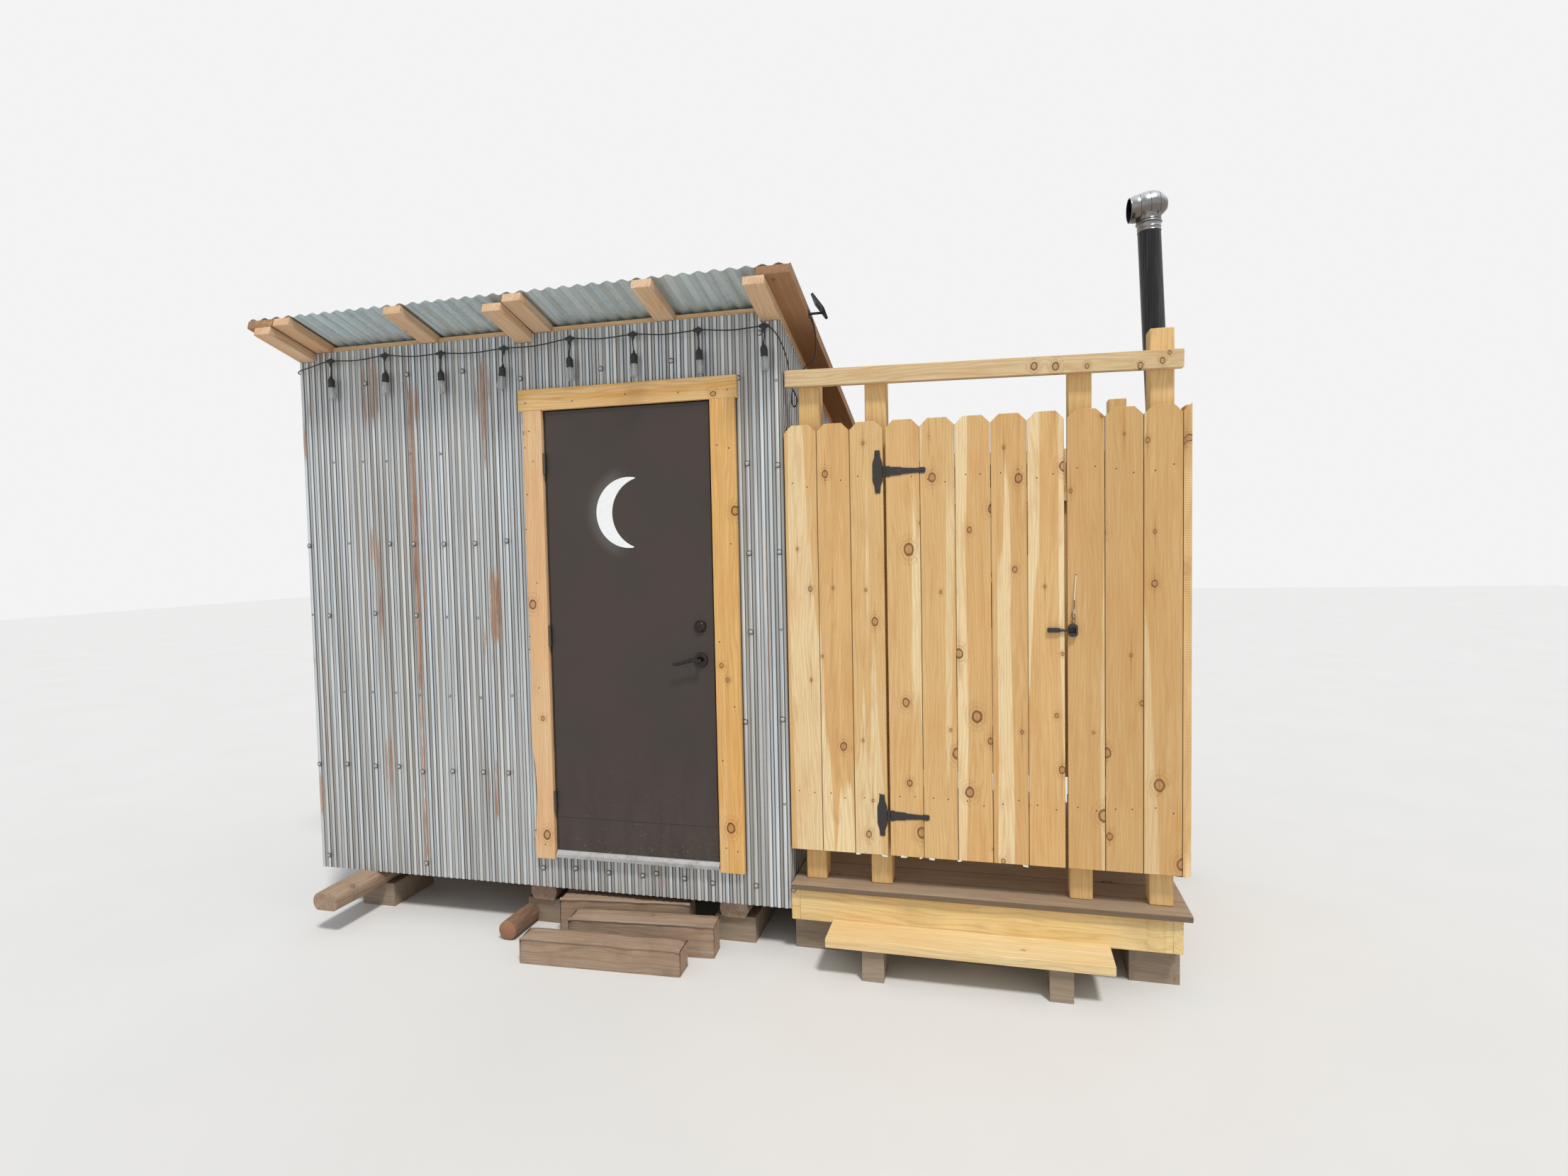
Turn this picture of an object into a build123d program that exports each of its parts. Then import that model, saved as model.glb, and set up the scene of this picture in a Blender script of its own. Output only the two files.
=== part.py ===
from build123d import *
import math
import os

# Driving dimensions in millimetres. X runs to the right along the front, Y runs to the back and Z up.
# The corner where the shed's left and front sheets meet on the ground is the working zero.

# Shed body
shed_width = 2470.0
shed_depth = 1857.0
metal_bottom = 200.0
eave_height = 2588.0
roof_pitch = 15.0
frame_depth = 89.0
board = 38.0
stud_spacing = 400.0
seat = 0.3

# Corrugated metal
sheet_pitch = 67.7
sheet_depth = 12.7
sheet_gauge = 1.0

# Roof
front_overhang = 250.0
back_overhang = 200.0
fly_width = 140.0
fly_overhang = 45.0
fly_inset = 35.0
rafter_width = 89.0
upper_rafter_first = 145.0
upper_rafter_spacing = 600.0
upper_rafter_count = 4
lower_middle_left = 1208.0
roof_cut_margin = 1000.0
sheet_setback = 6.0
eave_strip_show = 24.0

# Floor
joist_height = 140.0
floor_thickness = 18.0
joist_spacing = 400.0

# Skids and blocks under everything
skid_width = 140.0
skid_height = 83.0
skid_crown = 22.0
skid_inset = 210.0
skid_front = -285.0
skid_hidden_front = 40.0
block_width = 190.0
block_length = 300.0
block_inset = 60.0
chock_radius = 45.0
chock_left = 1110.0
chock_front = -150.0
chock_length = 200.0

# Door
door_left = 1354.0
door_width = 790.0
door_height = 2032.0
door_thickness = 44.5
door_face = -12.0
door_gap = 5.0
jamb_thickness = 22.0
stop_depth = 12.0
threshold_height = 27.0
threshold_nose = 30.0
pin_proud = 10.0
knuckle_radius = 6.0
pin_radius = 3.0
butt_height = 95.0
butt_levels = (230.0, 1005.0, 1795.0)
butt_leaf = 2.0
butt_leaf_short = 4.0

# Door furniture
backset = 62.0
lever_level = 902.0
bolt_level = 1050.0
rose_radius = 33.0
rose_thickness = 10.0
bolt_radius = 27.0
bolt_thickness = 16.0
thumb_thickness = 10.0
thumb_length = 34.0
thumb_height = 16.0
thumb_width = 8.0
lever_reach = 113.0
lever_standoff = 50.0
lever_thickness = 11.0
lever_neck_radius = 10.0
spindle_radius = 4.0
spindle_clear = 2.0
rose_gap = 0.5
moon_radius = 160.0
moon_left = 244.0
moon_level = 1561.0
moon_thickness = 3.0
moon_body = 92.0
moon_horn = 35.0

# Rough sawn trim round the door
trim_thickness = 25.0
trim_left_width = 104.0
trim_right_width = 112.0
trim_head_height = 97.0
trim_head_overhang = 12.0
trim_foot = 146.0
trim_cover = 3.0

# Deck under the shower enclosure
deck_length = 1607.0
deck_gap = 4.0
deck_nose = -25.0
deck_top = 322.0
deck_board_width = 138.0
deck_board_gap = 4.0
deck_board_thickness = 25.0
deck_board_count = 10
deck_edge_overhang = 31.0
deck_nose_overhang = 25.0
deck_block_inset = 70.0

# Fence, posts and gate
post = 89.0
post_face = 58.0
post_offsets = (58.0, 345.0, 1159.0, 1461.0)
rear_post_face = 1250.0
rear_post_tops = (2350.0, 2531.0)
front_post_top = 2490.0
corner_post_top = 2599.0
picket_width = 139.7
picket_gap = 1.3
picket_thickness = 16.0
picket_length = 1829.0
picket_ear = 32.0
picket_bottom = 468.0
corner_strip_width = 30.0
fence_gap = 4.0
left_pickets = 3
gate_pickets = 5
right_pickets = 3
gate_gap = 10.0
fence_rail_levels = (200.0, 1540.0)
fence_rail_height = 89.0
brace_width = 89.0
rail_height = 70.0
rail_gap = 8.0
rail_length = 1570.0
rail_level = 2506.0
rail_tilt = 1.03

# Gate hardware
strap_length = 165.0
strap_root = 45.0
strap_tip = 24.0
strap_plate_width = 42.0
strap_plate_height = 178.0
strap_levels = (172.0, 1618.0)
strap_thickness = 3.0
strap_point = 6.0
strap_clear = 1.0
latch_level = 962.0
latch_width = 36.0
latch_height = 60.0
latch_depth = 20.0
latch_bar_radius = 5.0
latch_bar_reach = 66.0
latch_plate_width = 34.0
latch_plate_height = 44.0
latch_slot_clear = 5.0
latch_wall = 8.0
latch_wire_radius = 1.5
latch_pull_hole = 1180.0

# Steps
timber_heights = (180.0, 145.0, 115.0)
timber_lefts = (1375.0, 1480.0, 1330.0)
timber_fronts = (-60.0, -175.0, -330.0)
timber_lengths = (620.0, 670.0, 730.0)
timber_turns = (6.0, 5.0, 2.5)
timber_width = 108.0
timber_chamfer = 6.0
step_board_offset = 183.0
step_board_length = 1122.0
step_board_width = 184.0
step_board_top = 172.0
step_block_inset = 150.0
step_block_margin = 20.0

# Vent pipe
pipe_offset = 210.0
pipe_y = 1290.0
pipe_lean = 2.5
pipe_radius = 57.0
pipe_wall = 3.0
pipe_length = 3434.0
collar_overlap = 46.0
collar_wall = 1.5
collar_bead = 6.0
collar_rim = 6.0
spigot_clear = 0.5
spigot_height = 30.0
cowl_wall = 1.5
cowl_neck_radius = 57.0
cowl_gap = 5.0
crown_radius = 63.0
crown_height = 30.0
crown_tabs = 12
hood_rise = 91.0
hood_turn = 5.0
hood_bead = 4.0
hood_rings = ((-95.0, 78.0), (-42.0, 77.0), (12.0, 73.0), (62.0, 60.0), (90.0, 35.0))
band_drop = 137.0
band_width = 30.0
band_thickness = 2.0
band_foot = 80.0

# String lights and their solar panel
cable_radius = 3.0
hook_first = 207.0
hook_last_inset = 65.0
hook_level = 2732.0
hook_shifts = ((0.0, 2.0), (-4.0, 6.0), (-9.0, -8.0), (12.0, -11.0), (34.0, 6.0), (27.0, 0.0), (18.0, -7.0),
               (-1.0, -14.0))
light_proud = 24.0
cable_sag = 12.0
clip_hold = 26.0
clip_width = 45.0
clip_height = 32.0
clip_depth = 40.0
drop_radius = 4.0
drop_length = 60.0
socket_radius = 16.0
socket_length = 50.0
bulb_radius = 19.0
bulb_neck = 13.0
bulb_length = 64.0
bulb_sides = 10
panel_size = 92.0
panel_thickness = 12.0
panel_arm = 60.0
panel_back = 90.0
panel_tilt = 35.0
panel_rise = 36.0

# Worked out from the sizes above
fly_left = -fly_overhang
fly_right = shed_width - fly_inset
skid_lefts = (skid_inset, (shed_width - skid_width) / 2, shed_width - skid_inset - skid_width)
deck_right = shed_width + deck_length
post_lefts = [shed_width + offset for offset in post_offsets]
fence_left = shed_width + fence_gap
rail_left = shed_width + rail_gap
step_board_left = shed_width + step_board_offset
slope = math.tan(math.radians(roof_pitch))
cosine = math.cos(math.radians(roof_pitch))
roof = Pos(0, 0, metal_bottom + eave_height) * Rot(-roof_pitch, 0, 0)
wall_skin = sheet_depth + sheet_gauge
frame_front = wall_skin + seat
frame_back = shed_depth - wall_skin - seat
floor_top = metal_bottom + joist_height + floor_thickness
door_right = door_left + door_width
door_bottom = floor_top + threshold_height + door_gap
door_top = door_bottom + door_height
jamb_left = door_left - door_gap
jamb_right = door_right + door_gap
opening_left = jamb_left - jamb_thickness
opening_right = jamb_right + jamb_thickness
opening_top = door_top + door_gap + jamb_thickness
pin_x = door_left - door_gap
pin_y = door_face - pin_proud
picket_pitch = picket_width + picket_gap
fence_face = post_face - board - picket_thickness
gate_left = fence_left + left_pickets * picket_pitch - picket_gap + gate_gap
gate_width = gate_pickets * picket_pitch - picket_gap
gate_right = gate_left + gate_width
right_fence_left = gate_right + gate_gap
gate_pin_x = gate_left - gate_gap / 2
gate_pin_y = fence_face - knuckle_radius - seat
side_rail_x = post_lefts[-1] + post
side_picket_x = side_rail_x + board
back_rail_y = rear_post_face + post
back_picket_y = back_rail_y + board
pipe_x = side_picket_x + picket_thickness + pipe_offset
hood_level = pipe_length + hood_rise
spigot_radius = cowl_neck_radius - cowl_wall - spigot_clear
band_level = picket_bottom + picket_length - band_drop
hook_proud = -light_proud
hook_spacing = (shed_width - hook_first - hook_last_inset) / (len(hook_shifts) - 1)
lower_underside = board / cosine


def block(x0, x1, y0, y1, z0, z1):
    """A square-edged timber or plate from one corner to the other."""
    return Pos(x0, y0, z0) * Box(x1 - x0, y1 - y0, z1 - z0, align=(Align.MIN, Align.MIN, Align.MIN))


def rafter_underside(y):
    """Height of the upper rafters' underside above the ground, y behind the front sheet."""
    return metal_bottom + eave_height - y * slope


def corrugated(run, height):
    """A sheet that runs along X and stands along Z. Its crests touch y = 0 and it deepens towards +Y."""
    waves = max(1, round(run / sheet_pitch))
    wave = run / waves
    profile = [(0.0, sheet_depth / 2)]
    for i in range(waves):
        profile += [((i + 1 / 8) * wave, 0.0), ((i + 3 / 8) * wave, 0.0),
                    ((i + 5 / 8) * wave, sheet_depth), ((i + 7 / 8) * wave, sheet_depth)]
    profile.append((run, sheet_depth / 2))
    back = [(x, y + sheet_gauge) for x, y in reversed(profile)]
    return extrude(make_face(Polyline(profile + back, close=True)), height)


def stud_wall(length, start_height, end_height):
    """Studs, plates and a middle girt in one frame, standing on z = 0 with its outer face on y = 0."""
    bays = max(1, round(length / stud_spacing))
    bay = (length - board) / bays
    fall = (end_height - start_height) / length
    face = make_face(Polyline((0, 0), (length, 0), (length, end_height), (0, start_height), close=True))
    for i in range(bays):
        left = i * bay + board
        right = (i + 1) * bay
        top_left = start_height + fall * left - board
        top_right = start_height + fall * right - board
        girt = (top_left + top_right) / 4
        face -= make_face(Polyline((left, board), (right, board), (right, girt), (left, girt), close=True))
        girt_top = girt + board
        face -= make_face(Polyline((left, girt_top), (right, girt_top), (right, top_right), (left, top_left),
                                   close=True))
    return Pos(0, frame_depth, 0) * Rot(90, 0, 0) * extrude(face, frame_depth)


def picket(left):
    """One dog-ear fence board seen from the front, as a face in XY, with its foot on y = 0."""
    right = left + picket_width
    shoulder = picket_length - picket_ear
    return make_face(Polyline((left, 0), (right, 0), (right, shoulder), (right - picket_ear, picket_length),
                              (left + picket_ear, picket_length), (left, shoulder), close=True))


def picket_strip(left, width):
    """What is left of a picket that was ripped to fill the end of a row, with the one ear it kept."""
    right = left + width
    ear = min(picket_ear, width - 1.0)
    return make_face(Polyline((left, 0), (right, 0), (right, picket_length), (left + ear, picket_length),
                              (left, picket_length - ear), close=True))


def picket_row(left, count, strip=0.0):
    """A row of pickets, standing up, with their faces on y = 0 and their backs towards +Y."""
    row = [picket(left + i * picket_pitch) for i in range(count)]
    if strip:
        row.append(picket_strip(left + count * picket_pitch, strip))
    boards = [extrude(face, picket_thickness) for face in row]
    return Pos(0, picket_thickness, picket_bottom) * Rot(90, 0, 0) * Part(children=boards)


def filled_row(run):
    """Pickets from x = 0 that fill a run, the last one ripped to what is left of it."""
    count = math.floor((run + picket_gap) / picket_pitch)
    return picket_row(0.0, count, run - count * picket_pitch)


def fence_rails(x0, x1, y0):
    """The rails behind a run of pickets."""
    return [block(x0, x1, y0, y0 + board, picket_bottom + level, picket_bottom + level + fence_rail_height)
            for level in fence_rail_levels]


def fused(first, others):
    """One solid out of pieces that are nailed together."""
    result = first
    for other in others:
        result = result + other
    return result


def skids():
    """Landscape timbers under the shed, flat on top and below and rounded at the sides."""
    profile = make_face([
        Line((skid_crown, 0), (skid_width - skid_crown, 0)),
        ThreePointArc((skid_width - skid_crown, 0), (skid_width, skid_height / 2),
                      (skid_width - skid_crown, skid_height)),
        Line((skid_width - skid_crown, skid_height), (skid_crown, skid_height)),
        ThreePointArc((skid_crown, skid_height), (0, skid_height / 2), (skid_crown, 0)),
    ])
    bottom = metal_bottom - skid_height
    fronts = [skid_front] + [skid_hidden_front] * (len(skid_lefts) - 1)
    return [Pos(left, shed_depth, bottom) * Rot(90, 0, 0) * extrude(profile, shed_depth - front)
            for left, front in zip(skid_lefts, fronts)]


def chock():
    """A short round log on the ground under the front of the shed."""
    middle = chock_front + chock_length / 2
    return Pos(chock_left + chock_radius, middle, chock_radius) * Rot(90, 0, 0) * Cylinder(chock_radius, chock_length)


def foundation_blocks():
    """Timber blocks on the ground under the skids, the deck and the loose step board."""
    blocks = []
    skid_block_top = metal_bottom - skid_height
    for left in skid_lefts:
        middle = left + skid_width / 2
        for y in (block_inset, (shed_depth - block_length) / 2, shed_depth - block_length - block_inset):
            blocks.append(block(middle - block_width / 2, middle + block_width / 2, y, y + block_length,
                                0, skid_block_top))
    deck_block_top = deck_top - deck_board_thickness - joist_height
    deck_back = deck_nose + deck_board_count * (deck_board_width + deck_board_gap)
    for x in (shed_width + seat, (shed_width + deck_right - block_width) / 2,
              deck_right - deck_edge_overhang - block_width):
        for y in (deck_block_inset, deck_back - deck_nose_overhang - block_length):
            blocks.append(block(x, x + block_width, y, y + block_length, 0, deck_block_top))
    board_block_top = step_board_top - board
    for x in (step_board_left + step_block_inset, step_board_left + step_board_length - step_block_inset - post):
        blocks.append(block(x, x + post, step_block_margin - step_board_width, -step_block_margin,
                            0, board_block_top))
    return blocks


def joist_frame(left, right, front, back, bottom):
    """Timbers on edge: joists from front to back, and rim boards fitted between the outer two."""
    bays = round((right - left) / joist_spacing)
    pitch = (right - left - board) / bays
    top = bottom + joist_height
    timbers = []
    for i in range(bays + 1):
        x = left + i * pitch
        inset = 0.0 if i in (0, bays) else board + seat
        timbers.append(block(x, x + board, front + inset, back - inset, bottom, top))
    for y in (front, back - board):
        timbers.append(block(left + board + seat, right - board - seat, y, y + board, bottom, top))
    return timbers


def floor_frame():
    """The joists under the shed's floor."""
    return joist_frame(frame_front, shed_width - frame_front, frame_front, frame_back, metal_bottom)


def floor():
    """The floor sheet. It runs out under the door as far as the threshold."""
    bottom = metal_bottom + joist_height
    return block(frame_front, shed_width - frame_front, frame_front, frame_back, bottom, floor_top)


def front_frame():
    """Framing left and right of the doorway, and the header that bridges it."""
    plate_top = rafter_underside(frame_front + frame_depth) - lower_underside - seat
    height = plate_top - floor_top
    left_length = opening_left - frame_front
    right_length = shed_width - frame_front - opening_right
    left = Pos(frame_front, frame_front, floor_top) * stud_wall(left_length, height, height)
    right = Pos(opening_right, frame_front, floor_top) * stud_wall(right_length, height, height)
    header = block(opening_left, opening_right, frame_front, frame_front + frame_depth, opening_top, plate_top)
    return [left, right, header]


def back_frame():
    """Framing of the low back wall."""
    plate_top = rafter_underside(frame_back) - lower_underside - seat
    height = plate_top - floor_top
    length = shed_width - 2 * frame_front
    return Pos(frame_front, frame_back - frame_depth, floor_top) * stud_wall(length, height, height)


def side_frames():
    """Framing of the two side walls, whose top plates follow the roof."""
    start = frame_front + frame_depth
    end = frame_back - frame_depth
    start_height = rafter_underside(start) - lower_underside - seat - floor_top
    end_height = rafter_underside(end) - lower_underside - seat - floor_top
    wall = stud_wall(end - start, start_height, end_height)
    left = Pos(frame_front + frame_depth, start, floor_top) * Rot(0, 0, 90) * wall
    right = Pos(shed_width - frame_front, start, floor_top) * Rot(0, 0, 90) * wall
    return [left, right]


def lower_rafter_lefts():
    """Left edges of the three rafters that lie on the walls."""
    return (0.0, lower_middle_left, shed_width - rafter_width)


def upper_rafter_lefts():
    """Left edges of the rafters that carry the roof sheet."""
    return [upper_rafter_first + i * upper_rafter_spacing - rafter_width / 2 for i in range(upper_rafter_count)]


def wall_top_cut(clearance):
    """Everything above the walls' sloping top, to be taken off a sheet that reaches too high."""
    margin = roof_cut_margin
    return roof * block(-margin, shed_width + margin, -margin, shed_depth + margin, -clearance, margin)


def front_sheet(x0, x1, z0, z1):
    """A stretch of the front cladding, notched where the lower rafters pass."""
    sheet = Pos(x0, 0, z0) * corrugated(x1 - x0, z1 - z0)
    notch_bottom = rafter_underside(wall_skin) - lower_underside - seat
    for left in lower_rafter_lefts():
        right = left + rafter_width + seat
        if z1 > notch_bottom and left < x1 and right > x0:
            sheet -= block(left - seat, right, -wall_skin, 2 * wall_skin, notch_bottom, z1 + wall_skin)
    return sheet


def back_wall():
    """Cladding of the back wall, plain from corner to corner."""
    top = rafter_underside(shed_depth) - lower_underside - seat
    sheet = corrugated(shed_width, top - metal_bottom)
    return Pos(shed_width, shed_depth, metal_bottom) * Rot(0, 0, 180) * sheet


def side_wall(turn, x, y):
    """Cladding of one side, cut to the roof's slope under the lower rafter."""
    run = shed_depth - 2 * frame_front
    sheet = Pos(x, y, metal_bottom) * Rot(0, 0, turn) * corrugated(run, eave_height)
    return sheet - wall_top_cut(board + seat)


def roof_sheet():
    """The roof's corrugated sheet. Its crests run down the slope."""
    left = fly_left
    right = fly_right + fly_width
    start = -front_overhang / cosine + sheet_setback
    end = (shed_depth + back_overhang) / cosine
    sheet = corrugated(right - left, end - start)
    return roof * Pos(left, start, board + wall_skin) * Rot(-90, 0, 0) * sheet


def sloped_timber(left, width, layer):
    """A timber laid flat along the slope. Layer 0 rests on the walls' level and -1 is the one below."""
    start = -front_overhang / cosine
    end = (shed_depth + back_overhang) / cosine - sheet_setback
    return roof * block(left, left + width, start, end, layer * board, layer * board + board)


def rafters():
    """Flat rafters in two layers: three on the walls and four above them under the sheet."""
    lower = [sloped_timber(left, rafter_width, -1) for left in lower_rafter_lefts()]
    upper = [sloped_timber(left, rafter_width, 0) for left in upper_rafter_lefts()]
    return lower + upper


def fly_boards():
    """The wide boards under both ends of the roof sheet."""
    return [sloped_timber(fly_left, fly_width, 0), sloped_timber(fly_right, fly_width, 0)]


def eave_strips():
    """Boards on edge between the lower rafters that close the wall's top, notched for the upper rafters."""
    strips = []
    rows = [(frame_front, rafter_underside(frame_front + frame_depth) - lower_underside),
            (frame_back - board, rafter_underside(frame_back) - lower_underside)]
    lefts = lower_rafter_lefts()
    for y, bottom in rows:
        top = rafter_underside(y) + eave_strip_show
        for i in range(len(lefts) - 1):
            x0 = lefts[i] + rafter_width + seat
            x1 = lefts[i + 1] - seat
            strip = block(x0, x1, y, y + board, bottom, top)
            for left in list(upper_rafter_lefts()) + [fly_left, fly_right]:
                width = fly_width if left in (fly_left, fly_right) else rafter_width
                notch_floor = rafter_underside(y + board) - seat
                strip -= block(left - seat, left + width + seat, y - 1.0, y + board + 1.0, notch_floor, top + 1.0)
            strips.append(strip)
    return strips


def door_frame():
    """Both jambs, the head and the stops that the door closes against."""
    front = -seat
    back = frame_front + frame_depth
    stop_front = door_face + door_thickness + door_gap
    head_bottom = door_top + door_gap
    left = block(opening_left, jamb_left, front, back, floor_top, opening_top)
    left += block(jamb_left, jamb_left + stop_depth, stop_front, back, floor_top, head_bottom - seat)
    right = block(jamb_right, opening_right, front, back, floor_top, opening_top)
    right += block(jamb_right - stop_depth, jamb_right, stop_front, back, floor_top, head_bottom - seat)
    head = block(jamb_left + seat, jamb_right - seat, front, back, head_bottom, opening_top)
    reach = stop_depth + seat
    head += block(jamb_left + reach, jamb_right - reach, stop_front, back, head_bottom - stop_depth, head_bottom)
    return [left, right, head]


def threshold():
    """The aluminium sill under the door, with a sloping nose in front of the cladding."""
    back = door_face + door_thickness + door_gap - 1.0
    top = floor_top + threshold_height
    profile = make_face(Polyline((-threshold_nose, floor_top), (back, floor_top), (back, top),
                                 (door_face - 4.0, top), (-threshold_nose, top - 15.0), close=True))
    sill = extrude(profile, jamb_right - jamb_left - 2 * seat)
    return Pos(jamb_left + seat, 0, 0) * Rot(0, 0, 90) * Rot(90, 0, 0) * sill


def door_slab():
    """The slab with the bore for the lever's spindle."""
    slab = block(door_left, door_right, door_face, door_face + door_thickness, door_bottom, door_top)
    bore = Pos(door_right - backset, door_face + door_thickness / 2, door_bottom + lever_level)
    slab -= bore * Rot(90, 0, 0) * Cylinder(spindle_radius + spindle_clear, 2 * door_thickness)
    return slab


def door_moon():
    """A thin crescent on the door with its horns to the right."""
    centre_x = moon_left + moon_radius
    tip_x = moon_horn
    tip_y = math.sqrt(moon_radius ** 2 - tip_x ** 2)
    outer = ThreePointArc((tip_x, tip_y), (-moon_radius, 0), (tip_x, -tip_y))
    inner = ThreePointArc((tip_x, -tip_y), (-moon_radius + moon_body, 0), (tip_x, tip_y))
    plate = extrude(make_face([outer, inner]), moon_thickness)
    return Pos(door_left + centre_x, door_face, door_bottom + moon_level) * Rot(90, 0, 0) * plate


def door_lock():
    """The deadbolt and both roses of the lever."""
    x = door_right - backset
    inside_face = door_face + door_thickness
    bolt = Pos(0, 0, bolt_thickness / 2) * Cylinder(bolt_radius, bolt_thickness)
    bolt = chamfer(bolt.faces().sort_by(Axis.Z)[-1].edges(), 5.0)
    thumb = Pos(0, 0, thumb_thickness / 2) * Cylinder(bolt_radius, thumb_thickness)
    thumb += Pos(0, 0, thumb_thickness + thumb_height / 2) * Box(thumb_length, thumb_width, thumb_height)
    rose = Pos(0, 0, rose_thickness / 2) * Cylinder(rose_radius, rose_thickness)
    rose -= Pos(0, 0, rose_thickness / 2) * Cylinder(spindle_radius + spindle_clear, 2 * rose_thickness)
    front = Pos(x, door_face, door_bottom) * Rot(90, 0, 0)
    back = Pos(x, inside_face, door_bottom) * Rot(-90, 0, 0)
    return [front * Pos(0, bolt_level, 0) * bolt, back * Pos(0, -bolt_level, 0) * thumb,
            front * Pos(0, lever_level, 0) * rose, back * Pos(0, -lever_level, 0) * rose]


def door_lever():
    """The waved lever outside, its twin inside and the spindle between them."""
    place = Pos(door_right - backset, door_face + door_thickness / 2, door_bottom + lever_level)
    upper = Spline((14, 9), (-20, 13), (-62, 3), (-lever_reach, -8))
    tip = ThreePointArc((-lever_reach, -8), (-lever_reach - 7, -15), (-lever_reach, -22))
    lower = Spline((-lever_reach, -22), (-62, -13), (-20, -5), (14, -9))
    root = ThreePointArc((14, -9), (19, 0), (14, 9))
    shape = make_face([upper, tip, lower, root])
    start = door_thickness / 2 + rose_thickness + rose_gap
    reach = door_thickness / 2 + lever_standoff
    neck_length = reach - lever_thickness - start
    spindle = Rot(90, 0, 0) * Cylinder(spindle_radius, 2 * start + spindle_radius)
    levers = []
    for side in (1, -1):
        neck = Rot(90, 0, 0) * Pos(0, 0, side * (start + neck_length / 2)) * Cylinder(lever_neck_radius, neck_length)
        bar = Pos(0, -side * (reach - lever_thickness), 0) * Rot(90, 0, 0) * extrude(shape, side * lever_thickness)
        levers += [neck, bar]
    return place * fused(spindle, levers)


def butt_knuckle(level, part):
    """One third of a butt hinge's barrel. Part -1 is the lowest third and 1 the highest."""
    third = butt_height / 3
    z = door_bottom + level + part * third
    return Pos(pin_x, pin_y, z) * Cylinder(knuckle_radius, third - seat)


def jamb_hinges():
    """The jamb's halves of the butt hinges: leaf, outer knuckles and pin."""
    hinges = []
    for level in butt_levels:
        z0 = door_bottom + level - butt_height / 2
        pin = Pos(pin_x, pin_y, door_bottom + level) * Cylinder(pin_radius, butt_height / 2)
        leaf = block(jamb_left, jamb_left + butt_leaf, -seat, door_face + door_thickness - butt_leaf_short,
                     z0, z0 + butt_height)
        web = []
        for part in (-1, 1):
            web.append(butt_knuckle(level, part))
            z = door_bottom + level + part * butt_height / 3
            half = (butt_height / 3 - seat) / 2
            web.append(block(jamb_left, jamb_left + butt_leaf, pin_y, -seat, z - half, z + half))
        hinges.append(fused(pin, web + [leaf]))
    return hinges


def door_hinges():
    """The door's halves of the butt hinges: leaf on the slab's edge and middle knuckle."""
    hinges = []
    for level in butt_levels:
        z0 = door_bottom + level - butt_height / 2
        leaf = block(door_left - butt_leaf, door_left, door_face, door_face + door_thickness - butt_leaf_short,
                     z0, z0 + butt_height)
        half = (butt_height / 3 - seat) / 2
        z = door_bottom + level
        arm = block(door_left - butt_leaf, door_left, pin_y, door_face, z - half, z + half)
        half_hinge = fused(butt_knuckle(level, 0), [arm, leaf])
        half_hinge -= Pos(pin_x, pin_y, z) * Cylinder(pin_radius + seat, butt_height)
        hinges.append(half_hinge)
    return hinges


def trims():
    """The three rough boards round the door."""
    foot = metal_bottom + trim_foot
    left_inner = jamb_left - knuckle_radius - trim_cover
    right_inner = jamb_right + trim_cover
    head_bottom = door_top + door_gap + 1.0
    left = block(left_inner - trim_left_width, left_inner, -trim_thickness, -seat, foot, head_bottom - seat)
    right = block(right_inner, right_inner + trim_right_width, -trim_thickness, -seat, foot, head_bottom - seat)
    head = block(left_inner - trim_left_width - trim_head_overhang,
                 right_inner + trim_right_width + trim_head_overhang, -trim_thickness, -seat,
                 head_bottom, head_bottom + trim_head_height)
    return left, right, head


def deck_boards():
    """The deck's boards, laid along the front."""
    left = shed_width + deck_gap
    boards = []
    for i in range(deck_board_count):
        y = deck_nose + i * (deck_board_width + deck_board_gap)
        boards.append(block(left, deck_right, y, y + deck_board_width, deck_top - deck_board_thickness, deck_top))
    return boards


def deck_frame():
    """The joists under the deck's boards."""
    back = deck_nose + deck_board_count * (deck_board_width + deck_board_gap) - deck_nose_overhang
    bottom = deck_top - deck_board_thickness - joist_height
    right = deck_right - deck_edge_overhang
    return joist_frame(shed_width + seat, right, deck_nose + deck_nose_overhang, back, bottom)


def posts():
    """Four posts along the front of the enclosure and two at its rear corners."""
    tops = (front_post_top, front_post_top, front_post_top, corner_post_top)
    front = [block(x, x + post, post_face, post_face + post, deck_top, top) for x, top in zip(post_lefts, tops)]
    rear = [block(x, x + post, rear_post_face, rear_post_face + post, deck_top, top)
            for x, top in zip((post_lefts[0], post_lefts[-1]), rear_post_tops)]
    return front + rear


def top_rail():
    """The rail nailed across the posts above the fence, a little lower at its right end."""
    rail = block(0, rail_length, 0, board, -rail_height, 0)
    drop = math.sin(math.radians(rail_tilt)) * rail_length
    return Pos(rail_left, post_face - board, rail_level + drop) * Rot(0, rail_tilt, 0) * rail


def fence_left_panel():
    """The three pickets beside the shed with their rails."""
    row = Pos(0, fence_face, 0) * picket_row(fence_left, left_pickets)
    right = fence_left + left_pickets * picket_pitch - picket_gap
    return fused(row, fence_rails(fence_left, right, post_face - board))


def fence_right_panel():
    """The three pickets beside the gate with their rails."""
    row = Pos(0, fence_face, 0) * picket_row(right_fence_left, right_pickets)
    return fused(row, fence_rails(right_fence_left, side_rail_x, post_face - board))


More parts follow.
